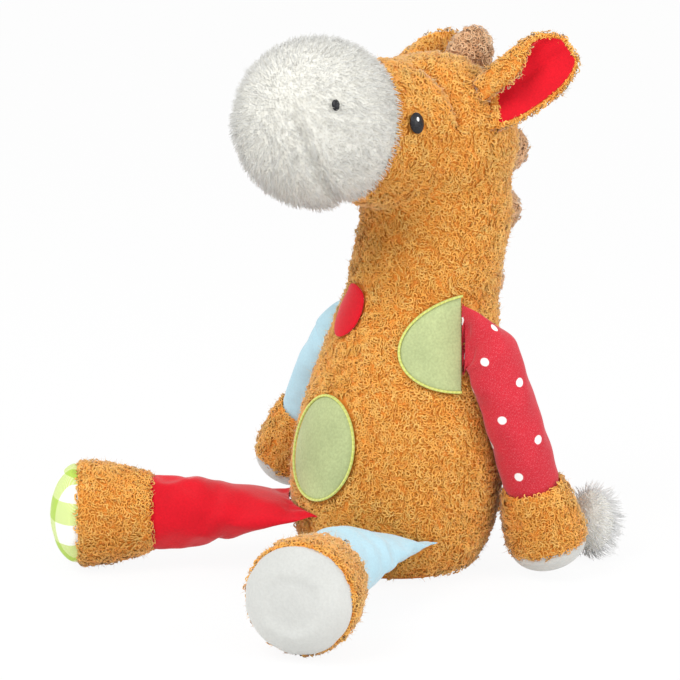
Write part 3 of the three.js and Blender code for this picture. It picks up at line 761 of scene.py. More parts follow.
def head_shells(inset):
    column = np.stack([mix(NECK - [0, 1, 22], SKULL, share) for share in np.linspace(0, 1, 12)])
    column[:, 1] += neck_sway(column[:, 2])
    throat = THROAT_RADIUS - inset
    neck = rings(column, [1, 0, 0], [0, 1, 0], throat, throat, SKIN_AROUND)
    steps = np.linspace(0, SNOUT_LENGTH, 10)
    line = SKULL + np.outer(steps, SNOUT_AIM)
    radius = snout_radius(steps) - inset
    snout = rings(line, [1, 0, 0], -SNOUT_TOP, radius, radius, SKIN_AROUND)
    return [
        ball(SKULL, SKULL_HALF - inset),
        tube(neck, column[0], column[-1]),
        tube(snout, line[0], line[-1]),
    ]


# The dart that takes the head's cloth in beside each ear, as points down its left side
DART = [(13.6, 4.8, 244.9), (26.6, 9.2, 238.1), (37.7, 10.4, 220.2)]
DART_DEPTH = 5
DART_WIDTH = 3
DART_BARE = 1.2


def from_dart(points):
    """Distances over the skull from the dart on either side of it, endless for points well below it."""
    line = through_points(DART, 40) - SKULL
    distances = np.full(len(points), np.inf)
    near = np.nonzero(points[:, 2] > DART[-1][2] - 9)[0]
    folded = np.hstack([np.abs(points[near, :1]), points[near, 1:]]) - SKULL
    turned = np.linalg.norm(unit(folded)[:, None] - unit(line)[None], axis=2)
    distances[near] = (turned * np.linalg.norm(line, axis=1)).min(1)
    return distances


body_skin = fused(
    "body_skin", [torso_shell(PILE_INSET), *head_shells(PILE_INSET)], 2.2, 12, fleece_ground
)
skin_points, skin_normals = points_of(body_skin.data), normals_of(body_skin.data)
groove = DART_DEPTH * np.exp(-((from_dart(skin_points) / DART_WIDTH) ** 2))
move_points(body_skin, skin_points - skin_normals * groove[:, None])

# Patches on the torso: angle from the front towards the left, height, half width and half height.
BELLY_PATCH = (1, 65.5, 22, 24.5)
CHEST_PATCH = (-11, 128.5, 11, 12.5)
SHOULDER_PATCH = (87, 116, 34, 22)
SHOULDER_SEAM_Y = 7.4
SHOULDER_SEAM_SLOPE = 0.19
SHOULDER_SEAM_MIDDLE = 118
TORSO_TOP, HEAD_BOTTOM = 118, 168
FLOOR_CLEARANCE = 0.25


def torso_angle(points):
    height = points[:, 2]
    return np.degrees(np.arctan2(points[:, 0], (spine(height) - points[:, 1]) / depth(height)))


def seam_angle(height):
    """Angle of the shoulder seam on the torso, which lies in one plane leaning back."""
    seam_y = SHOULDER_SEAM_Y + SHOULDER_SEAM_SLOPE * (height - SHOULDER_SEAM_MIDDLE)
    reach = (spine(height) - seam_y) / (torso_radius(height) * depth(height))
    return np.degrees(np.arccos(np.clip(reach, -1, 1)))


def in_patch(points, patch, grow=0.0):
    degrees, height, wide, tall = patch
    aside = np.radians(torso_angle(points) - degrees) * torso_radius(height)
    return (aside / (wide + grow)) ** 2 + ((points[:, 2] - height) / (tall + grow)) ** 2 < 1


def torso_fleece_place(points, normals):
    bare = in_patch(points, BELLY_PATCH, 1.2) | in_patch(points, CHEST_PATCH, 0.8)
    half = in_patch(points, SHOULDER_PATCH, 1.2) & (torso_angle(points) < seam_angle(points[:, 2]) + 2)
    below = (points[:, 2] < 5) & (normals[:, 2] < -0.75)
    beyond_muzzle = (points - MUZZLE_SEAM) @ SNOUT_AIM > 1
    return ~(bare | half | below | beyond_muzzle | (from_dart(points) < DART_BARE))


def rests_on_floor(obj):
    points = points_of(obj.data)
    points[:, 2] = np.maximum(points[:, 2], FLOOR_CLEARANCE)
    move_points(obj, points)
    return obj


def dress(obj, body=None, replaced=()):
    """Attaches a piece to the body it rides on and hides the solids it stands for."""
    if body:
        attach(obj, body)
    if replaced:
        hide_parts(*replaced)
    return obj


def bend_between(obj):
    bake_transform(obj)
    return obj


def over_neck(obj):
    return bend_between(obj)


body_at, body_out = spread_over(body_skin.data, CURL_SPACING, 11, torso_fleece_place)
on_neck = (body_at[:, 2] >= TORSO_TOP) & (body_at[:, 2] < HEAD_BOTTOM)
for name, chosen in [
    ("torso_fleece", body_at[:, 2] < TORSO_TOP),
    ("neck_fleece", on_neck),
    ("head_fleece", body_at[:, 2] >= HEAD_BOTTOM),
]:
    pile = curls(name, body_at[chosen], body_out[chosen], fleece, 21)
    if name == "neck_fleece":
        dress(over_neck(pile))
    else:
        dress(rests_on_floor(pile), name.split("_")[0])

over_neck(body_skin)
dress(
    body_skin,
    replaced=[
        "torso_front_panel",
        "torso_back_panel",
        "torso_front_stuffing",
        "torso_back_stuffing",
        "head_left_panel",
        "head_right_panel",
        "head_stuffing",
    ],
)

# The muzzle: a ball of white hair, combed back from its front, with the eyes and nostrils beside it

MUZZLE_BASE = 38.4
MUZZLE_HAIR = 3.0
MUZZLE_HAIR_WIDTH = 0.5
MUZZLE_HAIR_SPACING = 1.0
PARTING_FROM, PARTING_TO = np.array([0.660, -0.751, 0.016]), np.array([0.586, -0.272, -0.764])
PARTING_DEPTH = 3.2

muzzle_points, muzzle_faces = ball(MUZZLE, MUZZLE_BASE, 70, 110)
parting_side = unit(np.cross(PARTING_FROM, PARTING_TO))
muzzle_round = unit(muzzle_points - MUZZLE)
lower = smooth_step(0.1, 0.75, muzzle_round @ PARTING_TO)
groove = lower * np.exp(-(((muzzle_points - MUZZLE) @ parting_side / 2.6) ** 2))
muzzle_points = muzzle_points - muzzle_round * (PARTING_DEPTH * groove)[:, None]
muzzle_skin = shaped("muzzle_skin", muzzle_points, muzzle_faces, white_ground)


def muzzle_hair_place(points, normals):
    return (points - MUZZLE_SEAM) @ SNOUT_AIM > -7


muzzle_at, muzzle_out = spread_over(muzzle_skin.data, MUZZLE_HAIR_SPACING, 31, muzzle_hair_place)
rng = np.random.default_rng(32)
back = -SNOUT_AIM - muzzle_out * (muzzle_out @ -SNOUT_AIM)[:, None]
aside = (muzzle_at - MUZZLE) @ parting_side
lower = smooth_step(0.1, 0.75, unit(muzzle_at - MUZZLE) @ PARTING_TO)
apart = parting_side * (np.sign(aside) * lower * np.exp(-((aside / 3.2) ** 2)))[:, None]
wild = rng.normal(0, 1, muzzle_at.shape) * mix(0.2, 0.42, lower)[:, None]
aims = unit(muzzle_out + 0.55 * back + 0.5 * apart + wild - [0, 0, 0.15])
muzzle_strands = hair_strands(
    muzzle_at,
    muzzle_out,
    aims,
    MUZZLE_HAIR * rng.uniform(0.75, 1.15, len(muzzle_at)),
    MUZZLE_HAIR_WIDTH,
    33,
    bend=0.25 * back + [0, 0, -0.12] + rng.normal(0, 0.25, muzzle_at.shape),
    soft=0.92,
    clump=3.4,
)
muzzle_hair = strands("muzzle_hair", white_pile, muzzle_strands)
dress(muzzle_hair, "head")
dress(muzzle_skin, "head", ["muzzle_cover", "muzzle_stuffing"])

# Eyes and nostrils: close rows of dark thread, the eyes each with a painted highlight, a small white dome
# for their glint

EYE_HALF = (4.0, 5.0, 1.9)
NOSTRIL_HALF = (1.8, 2.7, 1.2)
GLINT_HALF = (0.75, 1.15, 0.45)
THREAD_RIDGE = 0.05

dark_thread, tree, shader = new_material("dark_thread", 0.36, 0.0, 0.3)
thread = noise(tree, vector_maths(tree, "MULTIPLY", object_place(tree), (900, 900, 2600)), 1.0)
painted(tree, shader, ramp(tree, thread, [(0.3, colour(10, 10, 12)), (0.75, colour(38, 39, 44))]))
bumped(tree, shader, thread, 0.4, 0.2)
# The eyes' painted highlight: a near-white cloth for their glints
painted_glint = velour_material("painted_glint", colour(246, 247, 248), 0.05, 0.3)


def domed(name, centre, out, half, material, rows=16, around=28, ridge=0.0):
    """A dome on a skin: an ellipse with rows of thread across it where a ridge is given, or smooth for the
    eyes' painted glints.
    """
    across = unit(np.cross([0, 0, 1], out))
    tall = np.cross(out, across)
    polar = np.linspace(0, 0.62 * math.pi, rows + 1)[1:]
    angle = turns(around)
    flat = np.sin(polar)[:, None]
    a = half[0] * flat * np.cos(angle)
    b = half[1] * flat * np.sin(angle)
    c = half[2] * np.cos(polar)[:, None] + ridge * np.sin(b * 7)
    shell = centre + a[..., None] * across + b[..., None] * tall + c[..., None] * out
    points, faces = tube(shell[::-1], centre - out * half[2] * 0.5, centre + out * half[2])
    return shaped(name, points, faces, material)


eye_rise = math.sqrt(snout_radius(EYE_ALONG) ** 2 - EYE_ABOVE**2)
for side, sign in (("left", 1), ("right", -1)):
    eye_out = unit(np.array([sign * eye_rise, 0, 0]) + SNOUT_TOP * EYE_ABOVE)
    eye_at = SKULL + SNOUT_AIM * EYE_ALONG + eye_out * snout_radius(EYE_ALONG)
    eye_middle = eye_at + eye_out * 0.6
    eye = domed(f"{side}_eye_thread", eye_middle, eye_out, EYE_HALF, dark_thread, ridge=THREAD_RIDGE)
    dress(eye, "head", replaced=[f"{side}_eye"])
    # Painted highlight: a white dome a little forward of and above the eye's middle, standing for the glint
    # of light on it
    glint_at = eye_at + eye_out * 1.95 + SNOUT_AIM * 0.9 + SNOUT_TOP * 1.5
    glint = domed(f"{side}_eye_glint", glint_at, eye_out, GLINT_HALF, painted_glint, 8, 16)
    dress(glint, "head")
    rise, aside = math.radians(NOSTRIL_UP), math.radians(NOSTRIL_ASIDE)
    nostril_out = np.array(
        [sign * math.cos(rise) * math.sin(aside), -math.cos(rise) * math.cos(aside), math.sin(rise)]
    )
    nostril_at = MUZZLE + nostril_out * (MUZZLE_RADIUS + 0.6)
    nostril = domed(
        f"{side}_nostril_thread", nostril_at, nostril_out, NOSTRIL_HALF, dark_thread, ridge=THREAD_RIDGE
    )
    dress(nostril, "head", replaced=[f"{side}_nostril"])

# The mane: round tufts of brown curls along the middle seam

TUFT_LENGTH, TUFT_WIDTH, TUFT_PROUD = 25, 17, 18
BACK_TUFT_PROUD = 13
HEAD_TUFTS = (31, 64, 98)


def mane_tuft(name, body, at, out, proud, seed):
    at, out = np.asarray(at, float), np.asarray(out, float)
    along = np.cross(out, [1.0, 0, 0])
    points, faces = ball([0, 0, 0], [TUFT_WIDTH / 2 - 1, TUFT_LENGTH / 2 - 1, proud - 1.6], 18, 28)
    core = shaped(f"{name}_core", at + points @ np.array([[1, 0, 0], along, out]), faces, mane_ground)

    def proud_of_skin(spots, normals):
        return (spots - at) @ out > 0

    spots, normals = spread_over(core.data, CURL_SPACING, seed, proud_of_skin)
    pile = curls(f"{name}_curls", spots, normals, mane_pile, seed + 1, 1.3)
    dress(pile, body)
    dress(core, body, [name])


for index, degrees in enumerate(HEAD_TUFTS):
    angle = math.radians(degrees)
    reach = np.array([0, SKULL_HALF[1] * math.sin(angle), SKULL_HALF[2] * math.cos(angle)])
    out = unit([0, math.sin(angle) / SKULL_HALF[1], math.cos(angle) / SKULL_HALF[2]])
    mane_tuft(f"mane_tuft_head_{index + 1}", "head", SKULL + reach, out, TUFT_PROUD, 41 + 3 * index)
nape_at = NECK + [0, THROAT_RADIUS + neck_sway(NECK[2] + 34), 34]
mane_tuft("mane_tuft_nape", "head", nape_at, [0, 1, 0], TUFT_PROUD, 53)
mane_tuft("mane_tuft_back", "torso", on_torso(180, NECK_HEIGHT), [0, 1, 0], BACK_TUFT_PROUD, 56)

# Ears: a leaf gathered at its base, its upper edge folded over the red lining

EAR_LENGTH = 40.5
EAR_HALF_WIDTH = 15
EAR_RIM = 0.07
EAR_FLAP = 0.75
EAR_FOLD = 2.7
EAR_CUP = 0.45
EAR_DROP = 0.24
EAR_SAG = 2.5
EAR_CREASE = 2.2
EAR_SEWN = 0.2
EAR_THICK = 2.4
LINING_THICK = 0.8
LINING_LIFT = 0.9
LINING_START, LINING_END = 0.0, 0.962
LINING_SUNK = 0.86
EARS = {
    "left": ([37.303, 33.856, 230.792], [0.3959, 0.7428, 0.5399], [0.7473, -0.6023, 0.2807]),
    "right": ([-37.303, 33.856, 230.792], [0.05, 0.88, 0.47], [-0.8227, -0.3987, 0.4052]),
}


def grid_faces(rows, columns):
    at = np.arange(rows * columns).reshape(rows, columns)
    return np.stack([at[:-1, :-1], at[:-1, 1:], at[1:, 1:], at[1:, :-1]], -1).reshape(-1, 4)


def cloth_sheet(name, grid, thickness, material):
    """A sheet of cloth through a grid of points, given a thickness on the side its normals leave."""
    obj = shaped(name, grid.reshape(-1, 3), grid_faces(*grid.shape[:2]), material)
    solidify = obj.modifiers.new("thick", "SOLIDIFY")
    solidify.thickness = thickness * MM
    solidify.offset = -1
    solidify.use_even_offset = True
    return rounded(obj)


def grid_normals(grid):
    return unit(np.cross(np.gradient(grid, axis=1), np.gradient(grid, axis=0)))


def onto_skull(points, share):
    """Points moved straight towards the middle of the skull, to a share of its skin's reach."""
    reach = points - SKULL
    return SKULL + share * reach / np.linalg.norm(reach / SKULL_HALF, axis=-1, keepdims=True)


def ear_grid(hinge, aim, face, rows, columns, margin=0.0, start=-0.04, end=0.985, sunk=0.97):
    """Points of an ear's front: rows from its base to its tip, columns across it and over its flap."""
    hinge, aim, face = np.asarray(hinge), unit(aim), unit(face)
    upper = unit(np.cross(face, aim))
    upper = upper if upper[2] > 0 else -upper
    grid = []
    for along in np.linspace(start, end, rows):
        flap = EAR_FLAP * (1 - smooth_step(0.1, 0.95, along))
        fine = np.linspace(-1, 1 + flap, 121)
        fold = EAR_FOLD * mix(0.35, 1, 1 - smooth_step(0.3, 1.0, along))
        angle = fold * smooth_step(0.6, 1.15, fine) - EAR_CUP * smooth_step(0, 1, -fine)
        step = fine[1] - fine[0]
        reach, rise = np.cumsum(np.cos(angle)) * step, np.cumsum(np.sin(angle)) * step
        reach, rise = reach - np.interp(0, fine, reach), rise - np.interp(0, fine, rise)
        at = np.linspace(-1 + margin, 1 + flap - margin, columns)
        half = EAR_HALF_WIDTH * np.clip(1 - abs((along - 0.38) / 0.62) ** 2.5, 0.03, 1) ** 0.45
        lower = EAR_DROP * np.clip(-at, 0, 1) * (1 - along)
        arch = math.sin(math.pi * min(max(along, 0), 1))
        sag = EAR_SAG * arch - 1.5
        crease = EAR_CREASE * arch * np.exp(-(((at - 0.1) / 0.22) ** 2))
        row = hinge + np.outer(EAR_LENGTH * (along - lower), aim)
        row = row + np.outer(half * np.interp(at, fine, reach), upper)
        row = row + np.outer(half * np.interp(at, fine, rise) - sag - crease, face)
        grid.append(mix(onto_skull(row, sunk), row, smooth_step(-0.05, EAR_SEWN, along)))
    grid = np.array(grid)
    forward = grid_normals(grid)[rows // 2, columns // 2 - 2] @ face > 0
    return grid if forward else grid[:, ::-1]


def ear_fleece_place(front):
    """Where an ear is fleece: on its back, round its rim and at its base and tip."""
    rows, columns = front.shape[:2]
    flat, facing = front.reshape(-1, 3), grid_normals(front).reshape(-1, 3)
    aside = np.tile(np.abs(np.linspace(-1, 1, columns)), rows)
    along = np.repeat(np.linspace(0, 1, rows), columns)

    def grows(points, normals):
        at = nearest(points, flat)
        behind = ((points - flat[at]) * facing[at]).sum(1) < -0.9
        return behind | (aside[at] > 1 - EAR_RIM / 2) | (along[at] > 0.98) | (along[at] < 0.1)

    return grows


for side, (hinge, aim, face) in EARS.items():
    front = ear_grid(hinge, aim, face, 26, 29)
    skin = cloth_sheet(f"{side}_ear_skin", front, EAR_THICK, fleece_ground)
    inner = ear_grid(hinge, aim, face, 26, 23, EAR_RIM, LINING_START, LINING_END, LINING_SUNK)
    inner = inner + grid_normals(inner) * LINING_LIFT
    lining = cloth_sheet(f"{side}_ear_red", inner, LINING_THICK, red_velour)
    spots, normals = spread_over(skin.data, CURL_SPACING, 61, ear_fleece_place(front))
    pile = curls(f"{side}_ear_fleece", spots, normals, fleece, 62)
    for obj in (skin, lining, pile):
        bend_between(obj)
    dress(skin, replaced=[f"{side}_ear_back"])
    dress(lining, replaced=[f"{side}_ear_lining"])
    dress(pile)

# Patches of velour on the torso, the green ones edged with close stitches

STITCH_STEP = 0.5
STITCH_HALF = 0.65
STITCH_RADIUS = 0.3
PATCH_STEPS = 22
PATCH_THICK = 1.2
PATCH_PUFF = 0.9


def seam_limit(patch, up):
    """How far aside from a patch's middle the shoulder seam runs, at heights above that middle."""
    degrees, height = patch[:2]
    return np.radians(seam_angle(height + up) - degrees) * torso_radius(height)


def patch_grid(patch, out, to_seam):
    """Points of an oval patch on the torso, or of its part in front of the shoulder seam."""
    degrees, height, wide, tall = patch
    radius = torso_radius(height)
    up = np.linspace(-tall, tall, 400)
    if to_seam:
        up = up[-wide * np.sqrt(1 - (up / tall) ** 2) < seam_limit(patch, up)]
    up = mix(up[0], up[-1], (np.sin(np.linspace(-0.497, 0.497, PATCH_STEPS) * math.pi)[:, None] + 1) / 2)
    half = wide * np.sqrt(np.clip(1 - (up / tall) ** 2, 0, 1))
    end = np.minimum(half, seam_limit(patch, up)) if to_seam else half
    aside = mix(-half, end, np.linspace(0, 1, PATCH_STEPS)[None])
    puff = PATCH_PUFF * np.sqrt(1 - np.clip((aside / wide) ** 2 + (up / tall) ** 2, 0, 1))
    return on_torso(degrees + np.degrees(aside / radius), height + up + 0 * aside, out + puff)


def patch_outline(patch, out, to_seam):
    """Points along a patch's sewn edge, at even steps, with the outward normals and edge directions."""
    degrees, height, wide, tall = patch
    radius = torso_radius(height)
    angle = np.linspace(0, 2 * math.pi, 721)
    if to_seam:
        angle = angle[wide * np.cos(angle) < seam_limit(patch, tall * np.sin(angle))]
    aside, up = wide * np.cos(angle), tall * np.sin(angle)
    line = on_torso(degrees + np.degrees(aside / radius), height + up, out)
    length = np.concatenate([[0], np.cumsum(np.linalg.norm(np.diff(line, axis=0), axis=1))])
    even = np.arange(0, length[-1], STITCH_STEP)
    line = np.stack([np.interp(even, length, line[:, i]) for i in range(3)], 1)
    along = tangents_of(line)
    out_at = line - np.stack([0 * even, spine(line[:, 2]), line[:, 2]], 1)
    normals = unit(out_at - along * (out_at * along).sum(1)[:, None])
    return line, along, normals


def stitches(name, line, along, normals, material):
    """Satin stitches laid side by side across a line, each an arched thread."""
    across = unit(np.cross(normals, along))
    share = np.linspace(-1, 1, 6)
    slant = across + 0.25 * along
    middle = line[:, None] + slant[:, None] * (STITCH_HALF * share)[None, :, None]
    middle = middle + normals[:, None] * (0.75 * np.sqrt(1 - 0.98 * share**2))[None, :, None]
    points = middle[:, :, None] + STITCH_RADIUS * spokes(along, normals, turns(5))[:, None]
    quads, u, v = strip_quads(len(line), 5, 5)
    tints = np.arange(len(line)) * 7 % TINTS
    return piece(name, quad_mesh(name, points.reshape(-1, 3), quads, tint_places(tints, u, v)), material)


for name, patch, to_seam, cloth, slot in [
    ("belly_patch", BELLY_PATCH, False, green_velour, "green_velour"),
    ("shoulder_patch", SHOULDER_PATCH, True, green_velour, "green_velour"),
    ("chest_patch", CHEST_PATCH, False, red_velour, "red_velour"),
]:
    velour = cloth_sheet(f"{name}_velour", patch_grid(patch, 0.2, to_seam), PATCH_THICK, cloth)
    if name == "chest_patch":
        dress(over_neck(velour), replaced=[name])
        continue
    dress(velour, "torso", [name])
    edge = stitches(f"{name}_satin", *patch_outline(patch, 0.5, to_seam), edging_thread)
    dress(edge, "torso", replaced=[f"{name}_edging"])

# Limbs: a cloth tube sewn into the torso's seam, ending in a fleece hand or foot with a sole

PUCKER_WAVES = waves_for(15, 9)
LIMB_AROUND = 40
MIRROR = {"left": np.array([1, 1, 1]), "right": np.array([-1, 1, 1])}
DOT_ROWS = 3
DOT_ROW_STEP = 27.2
DOT_STEP = 29
DOT_RADIUS = 2.05


def cloth_tube(name, ring_points, material):
    """A tube of cloth with a map round it (0 to 1) and along it (millimetres to its far end)."""
    count, around = ring_points.shape[:2]
    gaps = np.linalg.norm(np.diff(ring_points, axis=0), axis=2)
    lengths = -np.vstack([np.cumsum(gaps[::-1], axis=0)[::-1], np.zeros((1, around))])
    beside = np.roll(lengths, -1, axis=1)
    mesh = new_mesh(name, *tube(ring_points))
    u = np.arange(around) / around
    places = np.empty((count - 1, around, 4, 2))
    places[..., 0, 0] = places[..., 3, 0] = u
    places[..., 1, 0] = places[..., 2, 0] = u + 1 / around
    places[..., 0, 1], places[..., 1, 1] = lengths[:-1], beside[:-1]
    places[..., 2, 1], places[..., 3, 1] = beside[1:], lengths[1:]
    map_corners(mesh, "cloth", places)
    ends = np.concatenate([np.arange(2 * around), np.arange((count - 2) * around, count * around)])
    return rounded(filled_out(piece(name, mesh, material), ends, 0.05, 1.6))


def sewn_to(shell, seam, reach):
    """Draws a tube's rings onto a seam's points: wholly at its start, then less up to a share of it."""
    share = np.linspace(0, 1, len(shell))
    return mix(shell, seam[None], 1 - smooth_step(0, reach, share)[:, None, None])


def rumpled(shell, path, height):
    """Puckers in a tube of cloth, as high as given at each of its rings."""
    out = unit(shell - path[:, None])
    lift = swell(shell.reshape(-1, 3), PUCKER_WAVES).reshape(shell.shape[:2])
    return shell + out * (lift * np.asarray(height)[:, None])[..., None]


def dotted_material(name, base, dots):
    """Brushed red cotton with pale flecks along its threads and white dots in a staggered grid."""
    material, tree, shader = new_material(name, 0.85, 0.2)
    uv = place_on(tree, "cloth")
    shown, fibres = pile_cloth(tree, base, 0.14, 60, 1400)
    threads = noise(tree, vector_maths(tree, "MULTIPLY", uv, (420, 1.1, 1)), 1.0, 4.0)
    flecks = ramp(tree, threads, [(0.54, grey(0.0)), (0.78, grey(0.55))])
    shown = mixed(tree, flecks, shown, colour(240, 160, 168))
    scaled = vector_maths(tree, "MULTIPLY", uv, (DOT_ROWS, 1 / DOT_STEP, 0))
    reach = []
    for shift in ((0, 0, 0), (0.5, 0.5, 0)):
        cell = vector_maths(tree, "FRACTION", vector_maths(tree, "ADD", scaled, shift))
        middle = vector_maths(tree, "SUBTRACT", cell, (0.5, 0.5, 0))
        sized = vector_maths(tree, "MULTIPLY", middle, (DOT_ROW_STEP, DOT_STEP, 0))
        reach.append(vector_maths(tree, "LENGTH", sized, output="Value"))
    spot = maths(tree, "ADD", maths(tree, "MINIMUM", *reach), maths(tree, "MULTIPLY", fibres, 0.4))
    edge = {0: spot, 1: DOT_RADIUS + 0.4, 2: DOT_RADIUS, 3: 0.0, 4: 1.0}
    inside = node(tree, "ShaderNodeMapRange", edge).outputs[0]
    painted(tree, shader, mixed(tree, inside, shown, dots))
    bumped(tree, shader, fibres, 0.3, 0.3)
    return material


def checked_material(name, square):
    """Woven checks: two stripes crossing, with slanting twill lines where one of them shows."""
    material, tree, shader = new_material(name, 0.8, 0.15)
    parts = node(tree, "ShaderNodeSeparateXYZ", {0: place_on(tree, "cloth")})
    stripes = [
        maths(tree, "GREATER_THAN", maths(tree, "FRACT", maths(tree, "DIVIDE", part, 2 * square)), 0.5)
        for part in parts.outputs[:2]
    ]
    slant = maths(tree, "MULTIPLY", maths(tree, "ADD", parts.outputs[0], parts.outputs[1]), 1.05)
    twill = maths(tree, "GREATER_THAN", maths(tree, "FRACT", slant), 0.5)
    both = maths(tree, "MULTIPLY", *stripes)
    either = maths(tree, "MAXIMUM", *stripes)
    one = mixed(tree, twill, colour(222, 235, 172), colour(204, 224, 128))
    shown = mixed(tree, either, colour(246, 247, 244), one)
    shown = mixed(tree, both, shown, colour(180, 212, 88))
    weave = noise(tree, object_place(tree), 1300, 2.0)
    painted(tree, shader, multiplied(tree, shown, ramp(tree, weave, [(0.3, grey(0.9)), (0.7, grey(1.0))])))
    bumped(tree, shader, maths(tree, "ADD", weave, twill), 0.25, 0.15)
    return material


dotted_velour = dotted_material("dotted_velour", colour(211, 46, 60), colour(240, 238, 236))
checked_cotton = checked_material("checked_cotton", 10)


SOLE_SHARE = 0.88
END_AROUND = 44

# Sizes of a limb's end: its length, radius at the cuff and at the rim, swelling between and sole's height
HAND_SIZE = (31.5, 16.2, 20.5, 1.2, 13)
FOOT_SIZE = (35, 20.2, 27, 1, 15)


def fleece_end(side, part, sole_part, body, cuff, aim, up, size, cloth, slot, seed):
    """A limb's end: a fleece cover from its cuff to its rim, and the domed sole that closes it."""
    length, cuff_radius, radius, crown, bulge = size
    aim, up = unit(aim), unit(up)
    across = unit(np.cross(aim, up))
    up = np.cross(aim, across)

    def ring_line(along, radii):
        return rings(cuff + np.outer(along, aim), across, up, radii, radii, END_AROUND)

    share = np.linspace(0, 1, 12)
    outer = mix(cuff_radius, radius, share) + crown * np.sin(math.pi * share) - PILE_INSET
    along = np.concatenate([[5, 1.2], length * share, [length + 1.0]])
    radii = np.concatenate([[cuff_radius - 3.4, cuff_radius - 3.2], outer, [radius - PILE_INSET - 3]])
    skin = rounded(shaped(f"{side}_{part}_skin", *tube(ring_line(along, radii)), fleece_ground))

    def outside(spots, normals):
        reach = (spots - cuff) @ aim
        return (reach > -0.3) & (reach < length + 0.3) & (((spots - cuff) * normals).sum(1) > 0)

    spots, normals = spread_over(skin.data, CURL_SPACING, seed, outside)
    pile = curls(f"{side}_{part}_fleece", spots, normals, fleece, seed + 1)
    angle = np.linspace(0, math.pi / 2, 16)[:-1]
    along = length - 0.6 + (bulge - 0.4) * np.sin(angle)
    dome = ring_line(along, SOLE_SHARE * radius * np.cos(angle) ** 0.92)
    turn = turns(END_AROUND)
    pucker = 0.35 * np.sin(11 * turn + seed) + 0.3 * np.sin(17 * turn + 2 * seed)
    dome = dome + aim * (pucker * np.exp(-((angle / 0.35) ** 2))[:, None])[..., None]
    points, faces = tube(dome, None, cuff + aim * (length + bulge - 1.0))
    mesh = new_mesh(f"{side}_{sole_part}_cloth", points, faces)
    corners = np.array([loop.vertex_index for loop in mesh.loops])
    flat = np.stack([(points - cuff) @ across + 5, (points - cuff) @ up], 1)
    map_corners(mesh, "cloth", flat[corners])
    sole = piece(f"{side}_{sole_part}_cloth", mesh, cloth)
    sole = rounded(filled_out(sole, np.arange(2 * END_AROUND), 0.06, 1.4))
    for obj in (skin, pile, sole):
        rests_on_floor(obj)
    dress(skin, body, [f"{side}_{part}"])
    dress(pile, body)
    dress(sole, body, [f"{side}_{sole_part}"])


# Arms

SHOULDER = np.array([41.02, 8, 119])
SLEEVE_RADIUS = 13
SLEEVE_SEAM_THICK = 5.5
SLEEVE_TUCK = 4
SHOULDER_SEAM = 33
ARM_ROUTES = {
    "left": [[-24, 1, 20], [0, 0, 0], [9.5, 9, -8], [15.5, 14, -27], [18.5, 21, -49], [19.5, 28.5, -72]],
    "right": [[-24, 0, 20], [0, 0, 0], [14, 1, -17], [28, 1, -35], [40, 1, -57]],
}
SLEEVE_CLOTH = {"left": (dotted_velour, "dotted_velour"), "right": (blue_velour, "blue_velour")}

for side, route in ARM_ROUTES.items():
    mirror = MIRROR[side]
    path = through_points((SHOULDER + route) * mirror, 16 * len(route) - 15)[16:]
    along, across, through = frames_along(path, [0, 1, 0])
    cuff, aim = path[-1], along[-1]
    share = np.linspace(0, 1, len(path))
    wide = mix(SHOULDER_SEAM / 2, SLEEVE_RADIUS, smooth_step(0, 0.5, share))
    thick = mix(SLEEVE_SEAM_THICK, SLEEVE_RADIUS, smooth_step(0, 0.3, share))
    path = np.vstack([path, cuff + aim * SLEEVE_TUCK])
    across, through = np.vstack([across, across[-1:]]), np.vstack([through, through[-1:]])
    wide, thick = np.append(wide, SLEEVE_RADIUS - 0.6), np.append(thick, SLEEVE_RADIUS - 0.6)
    shell = rings(path, across, through, wide, thick, LIMB_AROUND)
    turn = turns(LIMB_AROUND)
    rise = SHOULDER_SEAM_MIDDLE + SHOULDER_SEAM / 2 * np.cos(turn) * np.sign(across[0, 2])
    seam = on_torso(mirror[0] * (seam_angle(rise) + 1.5 + 1.2 * np.sin(turn)), rise, 0.5)
    material, slot = SLEEVE_CLOTH[side]
    shell = sewn_to(shell, seam, 0.28)
    shell = rumpled(shell, path, 0.9 * np.sin(math.pi * np.linspace(0, 1, len(path)) ** 0.6))
    sleeve = cloth_tube(f"{side}_sleeve_cloth", shell, material)
    bend_between(sleeve)
    dress(sleeve, replaced=[f"{side}_sleeve", f"{side}_arm_stuffing"])
    fleece_end(
        side, "hand", "palm", f"{side}_arm", cuff, aim, [0, 1, 0],
        HAND_SIZE, white_velour, "white_velour", 71 if side == "left" else 76,
    )

# Legs

HIP = np.array([32.606, -42.563, 27.2])
LEG_AIM = np.array([0.57207, -0.8202, 0])
LEG_LENGTH = 64
LEG_RADIUS = 17
HIP_HALF_WIDTH = 26
HIP_EDGE = 3
HIP_SEAM = {"left": (43, 24), "right": (-26, 33)}
HIP_SEAM_SPAN = 31
LEG_CLOTH = {"left": (blue_velour, "blue_velour"), "right": (red_velour, "red_velour")}
SOLE_CLOTH = {"left": (white_velour, "white_velour"), "right": (checked_cotton, "checked_cotton")}

